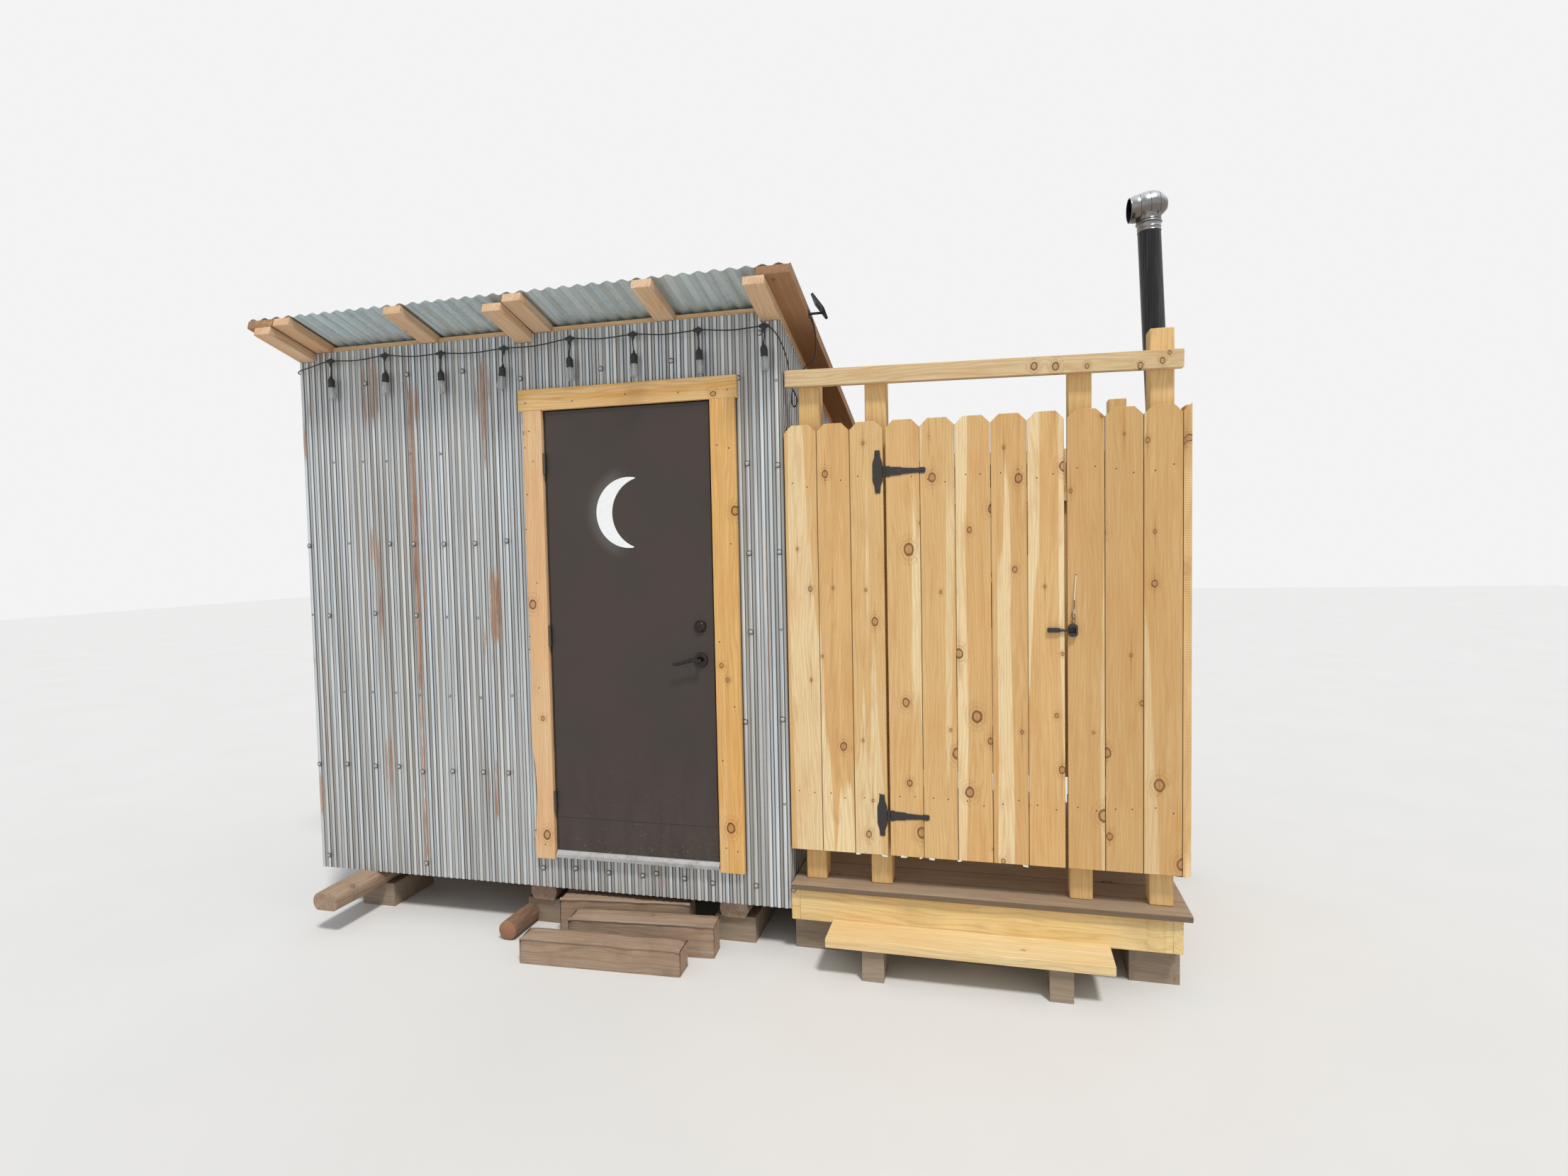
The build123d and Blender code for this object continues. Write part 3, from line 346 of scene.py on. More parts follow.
def turned(shape, place, profile, steps=28, tone=0.5, caps=True):
    """A form turned on a lathe: (radius, height) pairs about the third axis of place."""
    rings = [[put(place, radius * math.cos(a), radius * math.sin(a), height) for a in around(steps)]
             for radius, height in profile]
    shape.loft(rings, tone=tone, caps=caps)


def rod(shape, path, radius, sides=8, tone=0.5):
    """A round bar along points in metres."""
    rings = []
    up = Vector((0.0, 0.31, 0.95))
    for i, point in enumerate(path):
        before, after = path[max(i - 1, 0)], path[min(i + 1, len(path) - 1)]
        ahead = (after - before).normalized()
        side = ahead.cross(up)
        side = side.normalized() if side.length > 0.05 else ahead.orthogonal().normalized()
        up = side.cross(ahead)
        rings.append([point + radius / 1000 * (math.cos(a) * side + math.sin(a) * up) for a in around(sides)])
    shape.loft(rings, tone=tone)


def plate(shape, place, outline, thick, edge=0.6):
    """A flat plate with softened edges: an outline in across and along, with its thickness through."""
    middle = sum((Vector(p) for p in outline), Vector((0, 0))) / len(outline)
    rings = []
    for depth, pull in ((0.0, edge), (edge, 0.0), (thick - edge, 0.0), (thick, edge)):
        ring = []
        for point in outline:
            spot = Vector(point) - (Vector(point) - middle).normalized() * pull
            ring.append(put(place, spot.x, depth, spot.y))
        rings.append(ring)
    shape.loft(rings)


def dress(material, *nodes):
    """Give nodes of the model a better finish and leave their shapes as they are."""
    for name in nodes:
        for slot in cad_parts[name].material_slots:
            slot.material = material
    print("finish", material.name, "on", ", ".join(nodes))


print("shapes are ready")

# %% [markdown]
# Sawn timber is most of this object. All boards come from one function: a lofted bar whose corners
# are eased, whose faces may be rough and whose upper end may be cut to dog ears. Every board gets
# its own place in the wood, so no two show the same knots.

# %% Sawn boards
def board(shape, place, width, thick, length, ear=0.0, edge=1.4, seed=0, tone=0.5, step=180.0,
          edge_left=None, roughness=0.0, joints=False):
    """One board in its own axes, in millimetres: across, through and along."""
    draw = random.Random(seed * 7919 + 13)
    shift = Vector([draw.uniform(0, 60) for _ in range(3)])
    count = max(2, round((length - ear) / step))
    rows = [(0.0, edge, width - edge, edge), (edge, 0.0, width, 0.0)]
    rows += [((length - ear) * i / count, 0.0, width, 0.0) for i in range(1, count)]
    if ear:
        rows += [(length - ear, 0.0, width, 0.0), (length - edge, ear - edge, width - ear + edge, 0.0),
                 (length, ear, width - ear, edge)]
    else:
        rows += [(length - edge, 0.0, width, 0.0), (length, edge, width - edge, edge)]
    rings, grain = [], []
    for along, left, right, inset in rows:
        if edge_left:
            left += edge_left(along)
        ease = edge * (1.0 + roughness * noise.noise(Vector((along / 40, seed, 0))))
        ring = []
        for x, y in eased(left, right, inset, thick - inset, ease):
            rough = roughness * noise.noise(Vector((x / 9, along / 30, seed)))
            ring.append(put(place, x, y + rough, along))
            grain.append(Vector((x, y, along)) / 1000 + shift)
        rings.append(ring)
    # Narrow sides get 1; the wood shader paints shade there, as in the joints between boards.
    shaded_narrow_sides = [0.0, 0.0, 1.0, 1.0] * (2 * len(rings))
    shape.loft(rings, grain=grain, tone=tone, edge=shaded_narrow_sides if joints else None)


def beam(shape, low, high, along="z", **finish):
    """A square timber between two corners, with its grain along one axis."""
    x, y, z = (b - a for a, b in zip(low, high))
    across, run, sizes = {"x": (BACK, RIGHT, (y, z, x)), "y": (UP, BACK, (z, x, y)),
                          "z": (RIGHT, UP, (x, y, z))}[along]
    board(shape, axes(low, across, run), *sizes, **finish)


print("boards are ready")

# %% [markdown]
# The wood shader works in the board's own grain. Slow clouds stretched along the board give the
# streaks, a sine of the distance across gives the growth lines, and a cell texture drops knots that
# push the lines round them. Colours are linear values of bare cedar and pine in plain light.

# %% Wood
CELL_X, CELL_Z = 6.4, 3.4
OVAL = 0.6


def wood(name, light, dark, sap, knot, lines=95.0, knots=0.5, rough=0.72, grey=0.0, fibre=1.0, sap_share=0.5,
         axis=None, red=0.12, stain=0.0, own_knots=(), sawn=0.0, figure=0.36):
    """Bare wood. The grain is the stored one, or lies along an axis of the model's own timbers."""
    look = Look(name)
    if axis is None:
        grain, tone = look.stored("grain", 1), look.stored("tone", 2)
    else:
        x, y, z = look.parts(look.place())
        grain = look.joined(*{"x": (y, z, x), "y": (x, z, y), "z": (x, y, z)}[axis])
        tone = look.drawn_out(grain, (3.0, 3.0, 0.6), 1.0)
    across, through, along = look.parts(grain)
    wobble = look.drawn_out(grain, (60.0, 60.0, 40.0), 2.0)
    spots = look.joined(across * CELL_X, along * CELL_Z, 0.0)
    chosen, centre = look.cells(spots, 1.0, spread=0.95, voronoi_dimensions="2D")
    off = look.parts(look.node("ShaderNodeVectorMath", {"operation": "SUBTRACT"}, {0: spots, 1: centre}))
    beside, above = off[0] / CELL_X, off[1] / CELL_Z
    present = chosen[0].step(1.0 - knots, 1.02 - knots)
    spread = chosen[1] * chosen[1] * 0.013 + 0.0045
    gap = (beside * beside + above * above * OVAL) ** 0.5 * (0.8 + wobble * 0.4)
    from_knot = gap / spread + (1.0 - present) * 9.0
    for own_x, own_z, own_size in own_knots:
        away = look.away_from(own_x, 0.0, own_z)
        own_gap = (away[0] * away[0] + away[2] * away[2] * OVAL) ** 0.5
        from_knot = from_knot.sum("MINIMUM", from_knot, own_gap * (2.0 + wobble) * (400.0 / own_size))
    bent = 1.0 - (from_knot / 3.6).clipped()
    inside = 1.0 - from_knot.step(0.75, 1.0)
    rim = (1.4 - (from_knot - 1.0).size() / 0.24).clipped()
    halo = from_knot.near(1.9, 0.28) * 0.5 + from_knot.near(2.8, 0.3) * 0.3
    vein = present * chosen[2].step(0.35, 0.5) * beside.near(0.0, 0.0042) * above.near(0.0, 0.13)
    wander = look.drawn_out(grain, (7.0, 7.0, 0.9), 3.0, 0.55)
    phase = across * lines + through * lines * 0.6 + wander * 11.0 + bent * bent * 3.5
    growth = ((phase * 6.283).sine() * 0.5 + 0.5) ** 2.6
    streak = look.drawn_out(grain, (46.0, 46.0, 1.6), 4.0, 0.6)
    hair = look.drawn_out(grain, (420.0, 420.0, 9.0), 2.0, 0.6)
    broad = look.drawn_out(grain, (9.0, 9.0, 0.32), 2.0)
    patch = look.drawn_out(grain, (20.0, 20.0, 4.0), 4.0, 0.6)
    pale = broad.step(0.66 - 0.14 * sap_share, 0.672 - 0.14 * sap_share)
    colour = look.layered(
        light,
        (streak.step(0.30, 0.74), dark),
        (tone.step(0.0, 1.0) * 0.60, shaded(light, 1.07, 1.18, 1.30, most=0.95)),
        (pale * sap_share, sap),
        ((tone * -1.0).clipped(), shaded(light, 0.80)),
        (growth * figure, shaded(dark, 0.68)),
        (patch.step(0.50, 0.74) * 0.45, shaded(dark, 0.92, 0.80, 0.66)),
        (look.clouds(grain, 2.3, 2.0).step(0.45, 0.8) * red * 2.0, shaded(dark, 1.08, 0.86, 0.72)),
        (bent * bent * 0.55, shaded(dark, 0.80, 0.66, 0.52)),
        (vein * 0.70, shaded(knot, 1.1)),
        (inside * 0.22, shaded(knot, 1.3)),
        (inside * (from_knot * 14.0).sine().step(0.2, 0.9) * 0.30, shaded(knot, 0.5)),
        (rim * 0.92, shaded(knot, 0.38)),
        (halo * 0.5, shaded(knot, 0.9)),
        (hair.step(0.35, 0.7) * 0.17, shaded(dark, 0.5)))
    if grey:
        weather = look.drawn_out(grain, (26.0, 26.0, 1.4), 4.0, 0.65).step(0.25, 0.75)
        colour = look.layered(colour, (weather * grey, (0.33, 0.275, 0.225)),
                              ((streak * hair).step(0.30, 0.42) * grey * 0.6, (0.07, 0.058, 0.048)))
    if stain:
        soaked = look.clouds(look.place(), 5.0, 5.0, 0.6).step(0.52, 0.72)
        colour = look.mix(soaked * stain, colour, (0.19, 0.13, 0.09))
    # Painted shade: the marked narrow sides are darkened as if they lay in the shade of the joints.
    colour = look.mix(look.stored("edge", 2) * 0.62, colour, shaded(dark, 0.22))
    saw = (along * 700.0 + across * 420.0 + wander * 9.0).sine() * sawn
    if sawn:
        colour = look.mix((saw * (0.3 - tone)).step(0.02, 0.25) * 0.30, colour, shaded(dark, 0.62))
    height = saw + growth * 0.25 * fibre + hair * 0.5 * fibre + streak * 0.35 - rim * 0.8 - vein * 0.5
    return look.finish(Base_Color=colour, Roughness=(rough + streak * 0.16 - inside * 0.15).clipped(),
                       Normal=look.bump(height, 0.35, 0.0012), Specular_IOR_Level=0.32)


CEDAR = wood("cedar", (0.80, 0.515, 0.225), (0.66, 0.375, 0.140), (0.92, 0.735, 0.43), (0.34, 0.145, 0.055),
             lines=70.0, knots=0.80, sap_share=0.95, sawn=0.5, figure=0.24)
POST_WOOD = wood("post_pine", (0.85, 0.565, 0.245), (0.70, 0.42, 0.16), (0.90, 0.69, 0.40), (0.30, 0.14, 0.05),
                 lines=60.0, knots=0.35, sap_share=0.5)
RAIL_WOOD = wood("rail_pine", (0.78, 0.58, 0.33), (0.64, 0.43, 0.215), (0.85, 0.69, 0.46), (0.30, 0.14, 0.055),
                 lines=85.0, knots=0.6, rough=0.8, fibre=1.6, sawn=0.3,
                 own_knots=((3499, 2478, 11), (3580, 2471, 11), (3697, 2464, 7), (3891, 2452, 9), (3970, 2465, 9),
                            (3995, 2494, 6)))
TRIM_WOOD = wood("rough_trim", (0.84, 0.505, 0.185), (0.68, 0.36, 0.11), (0.90, 0.66, 0.36), (0.30, 0.12, 0.045),
                 lines=75.0, knots=0.35, rough=0.85, fibre=2.2, red=0.18, sawn=0.5,
                 own_knots=((2257, 1943, 14), (2207, 550, 16), (2180, 1270, 8)))
PALE_TRIM = wood("pale_trim", (0.84, 0.56, 0.31), (0.70, 0.415, 0.20), (0.89, 0.68, 0.44), (0.34, 0.14, 0.05),
                 lines=90.0, knots=0.2, rough=0.85, fibre=2.2, red=0.15, sawn=0.5,
                 own_knots=((1302, 460, 15), (1268, 1540, 15), (1240, 2330, 9), (1300, 1010, 8)))
RAFTER_WOOD = wood("rafter_pine", (0.78, 0.535, 0.33), (0.62, 0.385, 0.21), (0.84, 0.63, 0.43), (0.26, 0.115, 0.055),
                   lines=80.0, knots=0.4, rough=0.8, red=0.25)
FLY_WOOD = wood("fly_pine", (0.42, 0.24, 0.125), (0.31, 0.165, 0.08), (0.54, 0.36, 0.20), (0.16, 0.07, 0.035),
                lines=80.0, knots=0.4, rough=0.8, red=0.3)
DECK_WOOD = wood("deck_boards", (0.40, 0.285, 0.18), (0.30, 0.20, 0.12), (0.46, 0.345, 0.235), (0.12, 0.07, 0.04),
                 lines=60.0, knots=0.35, rough=0.7, grey=0.18, red=0.1)
RIM_WOOD = wood("treated_rim", (0.90, 0.675, 0.33), (0.75, 0.51, 0.20), (0.93, 0.76, 0.46), (0.28, 0.14, 0.05),
                lines=70.0, knots=0.6, rough=0.75, stain=0.16)
STEP_WOOD = wood("step_pine", (0.84, 0.65, 0.35), (0.72, 0.50, 0.225), (0.88, 0.73, 0.47), (0.32, 0.16, 0.065),
                 lines=55.0, knots=0.55, rough=0.7)
OLD_WOOD = wood("old_timber", (0.47, 0.315, 0.20), (0.26, 0.155, 0.095), (0.60, 0.45, 0.31), (0.10, 0.05, 0.03),
                lines=60.0, knots=0.35, rough=0.85, grey=0.50, fibre=2.8, red=0.2, stain=0.55)
HIDDEN_WOOD = wood("frame_pine", (0.62, 0.44, 0.235), (0.50, 0.32, 0.15), (0.70, 0.54, 0.33), (0.28, 0.13, 0.06),
                   lines=70.0, knots=0.3, axis="z")
HIDDEN_JOIST = wood("joist_pine", (0.55, 0.40, 0.21), (0.43, 0.28, 0.13), (0.62, 0.48, 0.29), (0.25, 0.12, 0.05),
                    lines=70.0, knots=0.3, axis="y")
PLYWOOD = wood("floor_plywood", (0.60, 0.43, 0.24), (0.49, 0.33, 0.165), (0.68, 0.52, 0.32), (0.30, 0.17, 0.09),
               lines=14.0, knots=0.25, axis="x", fibre=0.6)
BLOCK_WOOD = wood("block_timber", (0.33, 0.245, 0.165), (0.235, 0.165, 0.105), (0.42, 0.32, 0.22), (0.10, 0.06, 0.03),
                  lines=60.0, knots=0.3, axis="x", grey=0.5)
print(len(bpy.data.materials), "materials so far")

# %% [markdown]
# The cladding is galvanised sheet in small round waves, an inch and a third apart and a quarter
# inch deep; the roof's waves are twice as large. A sheet is a sine curve drawn out upwards, with a
# second skin a gauge behind it, so that its edges have thickness. The tone at each point says how
# deep it lies in a valley, where the metal's finish paints dirt and shade. The roof's upper skin is
# marked to be darker than its underside: weathering, and painted shade.

# %% Corrugated sheet
GAUGE = 1.0
WALL_WAVE, WALL_DEEP = WAVE / 2, 6.4


def sheet(shape, x0, x1, foot, heads, place, wave=WALL_WAVE, deep=WALL_DEEP, rows=7, set_back=0.0, dents=0.5,
          seed=1, weather=0.0):
    """Corrugated metal from x0 to x1, from a level foot up to a head that may slope."""
    count = max(2, round((x1 - x0) / (wave / 10)))
    n = count + 1
    start, skin = len(shape.points), n * (rows + 1)
    for back in (False, True):
        points, tones, faces = [], [], []
        for r in range(rows + 1):
            for i in range(n):
                x = x0 + (x1 - x0) * i / count
                head = heads[0] + (heads[1] - heads[0]) * i / count
                z = foot + (head - foot) * r / rows
                y = deep / 2 * (1.0 - math.cos(2 * math.pi * (x / wave - 0.25)))
                tones.append(min(max(y / deep, 0.0), 1.0))
                dent = dents * (0.5 + 0.5 * noise.noise(Vector((x / 260, z / 420, seed))))
                points.append(put(place, x, min(y + dent, deep) + set_back + (GAUGE if back else 0.0), z))
        for r in range(rows):
            for a in range(r * n, r * n + count):
                quad = [a, a + 1, a + 1 + n, a + n]
                faces.append(quad[::-1] if back else quad)
        # The front skin carries the weather mark; on the roof it is the upper skin, which the metal's finish darkens
        # partly as painted shade.
        shape.add(points, faces, tone=tones, edge=[0.0 if back else weather] * skin)
    rims = [(start + i + 1, start + i) for i in range(count)]
    rims += [(a - 1 + rows * n, a + rows * n) for a, _ in rims]
    for a in range(start, start + rows * n, n):
        rims += [(a + n, a), (a + count, a + count + n)]
    shape.faces += [[a, b, b + skin, a + skin] for a, b in rims]


def underside(y):
    """Height of the upper rafters' underside."""
    return EAVE - y * math.tan(PITCH)


LOWER_UNDER = TIMBER / math.cos(PITCH)
LOWER_RAFTERS = (0.0, 1208.0, SHED_W - RAFTER)
UPPER_RAFTERS = tuple(145.0 + 600.0 * i - RAFTER / 2 for i in range(4))
FLY_BOARDS = (-45.0, SHED_W - 35.0)
SHEET_TOP = underside(DEPTH + GAUGE) - SEAT
NOTCH = underside(DEPTH + GAUGE) - LOWER_UNDER - SEAT
SEAM = 616.0
front_place = Matrix.Translation(at(0, 0, 0))
print("sheet top", round(SHEET_TOP), "notch", round(NOTCH))

# %% [markdown]
# Old galvanised steel isn't one grey. It has cloudy zinc, pale chalky streaks, dirt and painted
# shade on its valley floors, thin dark lines of painted shade and reflection on its flanks, and brown
# rust that runs down from scratches and from the lap between two sheets. The rust bands of the
# front have their own places; everywhere else small stains come from noise.

# %% Galvanised metal
def galvanised(name, light, dark, bands=(), rust=0.3, valley_dirt_and_shade=0.75, roof=False):
    """Zinc on steel. On the roof the streaks run down the slope and the zinc's crystals are larger."""
    shine, rough, mottle, crystals = (0.40, 0.40, 0.75, 70.0) if roof else (0.45, 0.46, 0.12, 230.0)
    look = Look(name)
    spot = look.place()
    x, _, z = look.parts(spot)
    valley, weather = look.stored("tone", 2), look.stored("edge", 2)
    streak = look.drawn_out(spot, (34.0, 1.1, 1.1) if roof else (34.0, 34.0, 1.1), 5.0, 0.62)
    slow = look.drawn_out(spot, (4.2, 4.2, 1.0 if roof else 0.5), 3.0, 0.55)
    each = look.drawn_out(spot, (15.0, 0.35, 0.35) if roof else (29.0, 29.0, 0.35), 2.0)
    other = look.drawn_out(look.moved(spot, (7.3, 1.9, 0.4)), (12.0, 0.5, 0.5) if roof else (23.0, 23.0, 0.5), 2.0)
    crystal = look.cells(spot, crystals)[0][0]
    fine = look.clouds(spot, 160.0, 3.0, 0.6)
    # Painted shade: the valley floors darken with dirt and shade, and thin dark lines on the flanks stand for shade
    # and reflection.
    trough_dirt_and_shade = valley.step(0.74, 0.86) * (0.30 + each.step(0.40, 0.60) * 0.60)
    flank_shade = (valley.near(0.60, 0.25) * (0.60 + other.step(0.40, 0.58) * 0.90) * 1.8).clipped()
    brown = look.drawn_out(spot, (52.0, 52.0, 0.8), 4.0, 0.7).step(0.53, 0.68)
    colour = look.layered(
        light,
        (slow.step(0.30, 0.70), dark),
        (each.step(0.52, 0.66) * 0.55, shaded(light, 0.96, 0.90, 0.80)),
        (other.step(0.52, 0.64) * 0.45, shaded(light, 0.94, 1.04, 1.14, most=0.9)),
        (streak.step(0.46, 0.70) * 0.50, shaded(dark, 0.62)),
        (streak.step(0.50, 0.30) * 0.40, shaded(light, 1.30, most=0.9)),
        (crystal * mottle, shaded(dark if roof else light, 1.3, most=0.9)),
        (fine.step(0.62, 0.72) * 0.25, shaded(dark, 0.5)),
        (trough_dirt_and_shade * min(valley_dirt_and_shade * 1.2, 1.0), (0.315, 0.285, 0.245)),
        (flank_shade * valley_dirt_and_shade, (0.048, 0.045, 0.043)),
        # The roof's upper skin is darker than its underside: weathering, and painted shade that keeps the sunlit top
        # from washing out.
        (weather * (0.42 + slow * 0.45), shaded(dark, 0.42)),
        (brown * rust * 0.75, (0.25, 0.15, 0.10)))
    metallic = 1.0 - flank_shade * 0.8
    if bands:
        stain = 0.0
        for centre, half, low, high, strength in bands:
            across = ((half / 1000 - (x - at(centre, 0, 0).x).size()) * 350.0).clipped()
            tall = (((high - low) / 2000 + 0.02 - (z - (low + high) / 2000).size()) * 8.0).clipped()
            stain = across * tall * strength + stain
        ragged = look.drawn_out(spot, (70.0, 70.0, 5.0), 6.0, 0.74)
        mask = (stain * 2.3 * ragged.step(0.32, 0.58) - 0.20).clipped()
        deep = (stain * ragged.step(0.50, 0.66)).clipped()
        colour = look.layered(colour, (mask * 0.78, (0.36, 0.205, 0.125)), (deep * 0.80, (0.225, 0.090, 0.040)))
        metallic = metallic - mask
    return look.finish(Base_Color=colour, Metallic=(metallic * shine).clipped(),
                       Roughness=(rough + weather * 0.25 + streak * 0.22 + flank_shade * 0.2 - crystal * 0.05).clipped(),
                       Normal=look.bump(fine * 0.4 + streak * 0.6, 0.12, 0.001))


# Each band: its middle, its half width, its lowest and highest place in millimetres, and its strength.
RUST_BANDS = ((372, 13, 2380, 2760, 0.8), (412, 14, 2400, 2775, 1.0), (441, 12, 2440, 2745, 0.9),
              (SEAM + 11, 11, 1100, 2600, 1.2), (SEAM + 26, 5, 1500, 2650, 0.6), (SEAM + 1, 3, 190, 2800, 3.0),
              (SEAM + 9, 7, 230, 1100, 0.75), (662, 10, 2390, 2620, 0.8), (664, 6, 1450, 2390, 0.55),
              (993, 10, 2380, 2680, 0.6), (1022, 13, 2280, 2720, 1.1), (1052, 13, 2470, 2680, 0.8),
              (1027, 8, 2170, 2290, 0.9), (1050, 27, 1350, 1720, 1.2), (990, 12, 1240, 1450, 1.0),
              (1024, 9, 1230, 1340, 0.7), (378, 14, 1690, 1920, 0.8), (411, 12, 1340, 1910, 0.95),
              (438, 12, 580, 960, 0.85), (412, 9, 480, 900, 0.6), (1023, 10, 490, 800, 1.0),
              (986, 8, 530, 790, 0.7), (14, 13, 450, 690, 1.1), (14, 10, 1220, 1300, 0.9),
              (58, 7, 640, 1360, 0.6), (10, 11, 2240, 2460, 0.9), (40, 16, 2430, 2570, 0.6),
              (2263, 9, 2470, 2545, 1.1), (2263, 6, 570, 740, 0.8), (2386, 4, 980, 1880, 0.9),
              (1868, 13, 215, 340, 0.7), (1829, 5, 210, 400, 1.0), (1673, 5, 215, 335, 0.6))
WALL_ZINC = (0.660, 0.700, 0.720), (0.520, 0.548, 0.556)
FRONT_METAL = galvanised("front_metal", *WALL_ZINC, RUST_BANDS, rust=0.5, valley_dirt_and_shade=0.95)
SIDE_METAL = galvanised("side_metal", *WALL_ZINC, rust=0.55, valley_dirt_and_shade=0.95)
ROOF_METAL = galvanised("roof_metal", (0.74, 0.84, 0.85), (0.53, 0.63, 0.66), rust=0.06, valley_dirt_and_shade=0.34, roof=True)
print("metal finishes", [m.name for m in (FRONT_METAL, SIDE_METAL, ROOF_METAL)])

# %% [markdown]
# The front is clad in two widths that lap left of the door: the left sheet lies over the right one
# by an inch, and its raw edge has rusted. Each stretch is a piece of its own, as in the model. Near
# the rafters that pass through, the sheet is notched, so each span gets its own height. Thin
# battens behind carry the sheets on the frame.

# %% Front cladding
LAP = 25.0


def front_stretch(name, node, x0, x1, foot, seam=None, top=None):
    """One stretch of the front. Right of the seam the sheet lies a gauge further back, also under the lap."""
    shape = Shape()
    edges = [x0, x1] + [x for left in LOWER_RAFTERS for x in (left - SEAT, left + RAFTER + SEAT) if x0 < x < x1]
    if seam:
        edges.append(seam)
    edges.sort()
    for a, b in zip(edges, edges[1:]):
        under = any(left - 1 < (a + b) / 2 < left + RAFTER + 1 for left in LOWER_RAFTERS)
        head = top or (NOTCH if under else SHEET_TOP)
        set_back = GAUGE if seam and a >= seam else 0.0
        for start, stop in [(a, b)] + ([(a - LAP, a)] if a == seam else []):
            sheet(shape, start, stop, foot, (head, head), front_place, seed=3, set_back=set_back)
    shape.piece(name, FRONT_METAL, nodes=[node], slot="corrugated_metal", angle=30)


DOOR_LEFT, DOOR_W, DOOR_FOOT = 1354.0, 790.0, 390.0
DOOR_H, DOOR_FRONT, DOOR_BACK = 2032.0, -12.0, 32.5
DOOR_RIGHT, DOOR_HEAD = DOOR_LEFT + DOOR_W, DOOR_FOOT + DOOR_H
FLOOR_TOP = DOOR_FOOT - 32.0
JAMB = 27.0
OPEN_LEFT, OPEN_RIGHT = DOOR_LEFT - JAMB, DOOR_RIGHT + JAMB
front_stretch("cladding_left", "front_wall_left", 0.0, OPEN_LEFT - SEAT, METAL_FOOT, seam=SEAM)
front_stretch("cladding_right", "front_wall_right", OPEN_RIGHT + SEAT, SHED_W, METAL_FOOT)
front_stretch("cladding_over_door", "front_wall_over_door", OPEN_LEFT, OPEN_RIGHT, DOOR_HEAD + JAMB + SEAT)
front_stretch("cladding_under_door", "front_wall_under_door", OPEN_LEFT, OPEN_RIGHT, METAL_FOOT,
              top=FLOOR_TOP - SEAT)

# %% [markdown]
# The side sheets end under the sloping rafters, so their top edge falls towards the back. The back
# sheet is plain. The roof sheet's waves run down the slope and show at both eaves.

# %% Side, back and roof sheets
def slope_top(y):
    return underside(y) - LOWER_UNDER - SEAT


inner = DEPTH + GAUGE + SEAT
front_top, rear_top, back_top = slope_top(inner), slope_top(SHED_D - inner), slope_top(SHED_D)
for name, node, corner, degrees, width, heads, seed in (
        ("cladding_left_side", "left_wall", (0, SHED_D - inner), -90, SHED_D - 2 * inner, (rear_top, front_top), 5),
        ("cladding_right_side", "right_wall", (SHED_W, inner), 90, SHED_D - 2 * inner, (front_top, rear_top), 6),
        ("cladding_back", "back_wall", (SHED_W, SHED_D), 180, SHED_W, (back_top, back_top), 7)):
    side = Shape()
    place = Matrix.Translation(at(*corner, 0)) @ Matrix.Rotation(math.radians(degrees), 4, "Z")
    sheet(side, 0, width, METAL_FOOT, heads, place, seed=seed)
    side.piece(name, SIDE_METAL, nodes=[node], slot="corrugated_metal", angle=30)

battens = Shape()


def batten(x0, x1, y0, y1, z, along, seed):
    beam(battens, (x0, y0, z), (x1, y1, z + TIMBER), along, seed=seed, tone=0.4, edge=0.6, step=600.0)


behind, ends = WALL_DEEP + GAUGE + 0.6, (15.0, SHED_W - 15.0)
for z in (METAL_FOOT + 4.0, 900.0, 1473.0, 2080.0, 2500.0):
    beside_door = [(ends[0], OPEN_LEFT - 2.0), (OPEN_RIGHT + 2.0, ends[1])]
    for x0, x1 in beside_door if z > DOOR_FOOT else [ends]:
        batten(x0, x1, WALL_DEEP + 2 * GAUGE + 0.2, inner - 0.2, z, "x", int(z))
    if z < back_top - 60:
        batten(*ends, SHED_D - inner + 0.2, SHED_D - behind, z, "x", int(z) + 1)
    slope_end = min(SHED_D - 30.0, (EAVE - LOWER_UNDER - z - 50.0) / math.tan(PITCH))
    for x0, x1 in ((behind, inner - 0.2), (SHED_W - inner + 0.2, SHED_W - behind)):
        batten(x0, x1, 30.0, slope_end, z, "y", int(z) + 2)
battens.piece("wall_battens", OLD_WOOD, slot="framing_timber")

ROOF_PLACE = Matrix.Translation(at(0, 0, EAVE)) @ Matrix.Rotation(-PITCH, 4, "X")
ROOF_START, ROOF_GAP = -250.0 / math.cos(PITCH), 6.0
ROOF_RUN = (SHED_D + 200.0) / math.cos(PITCH) - ROOF_START - ROOF_GAP
roof_width = SHED_W + 45.0 + 105.0
roof_shape = Shape()
corner = Vector((-45.0, ROOF_START + ROOF_GAP, TIMBER + DEPTH + GAUGE)) / 1000
sheet(roof_shape, 0, roof_width, 0.0, (ROOF_RUN, ROOF_RUN),
      ROOF_PLACE @ Matrix.Translation(corner) @ Matrix.Rotation(-math.pi / 2, 4, "X"),
      roof_width / round(roof_width / WAVE), DEPTH, rows=9, dents=0.3, seed=8, weather=1.0)
roof_shape.piece("roof_sheet", ROOF_METAL, nodes=["roof"], slot="corrugated_metal", angle=30)

# %% [markdown]
# Screws with rubber washers hold the sheets to the girts behind, always on a crest, where water
# doesn't run. The rows are uneven, as they are on the real wall.

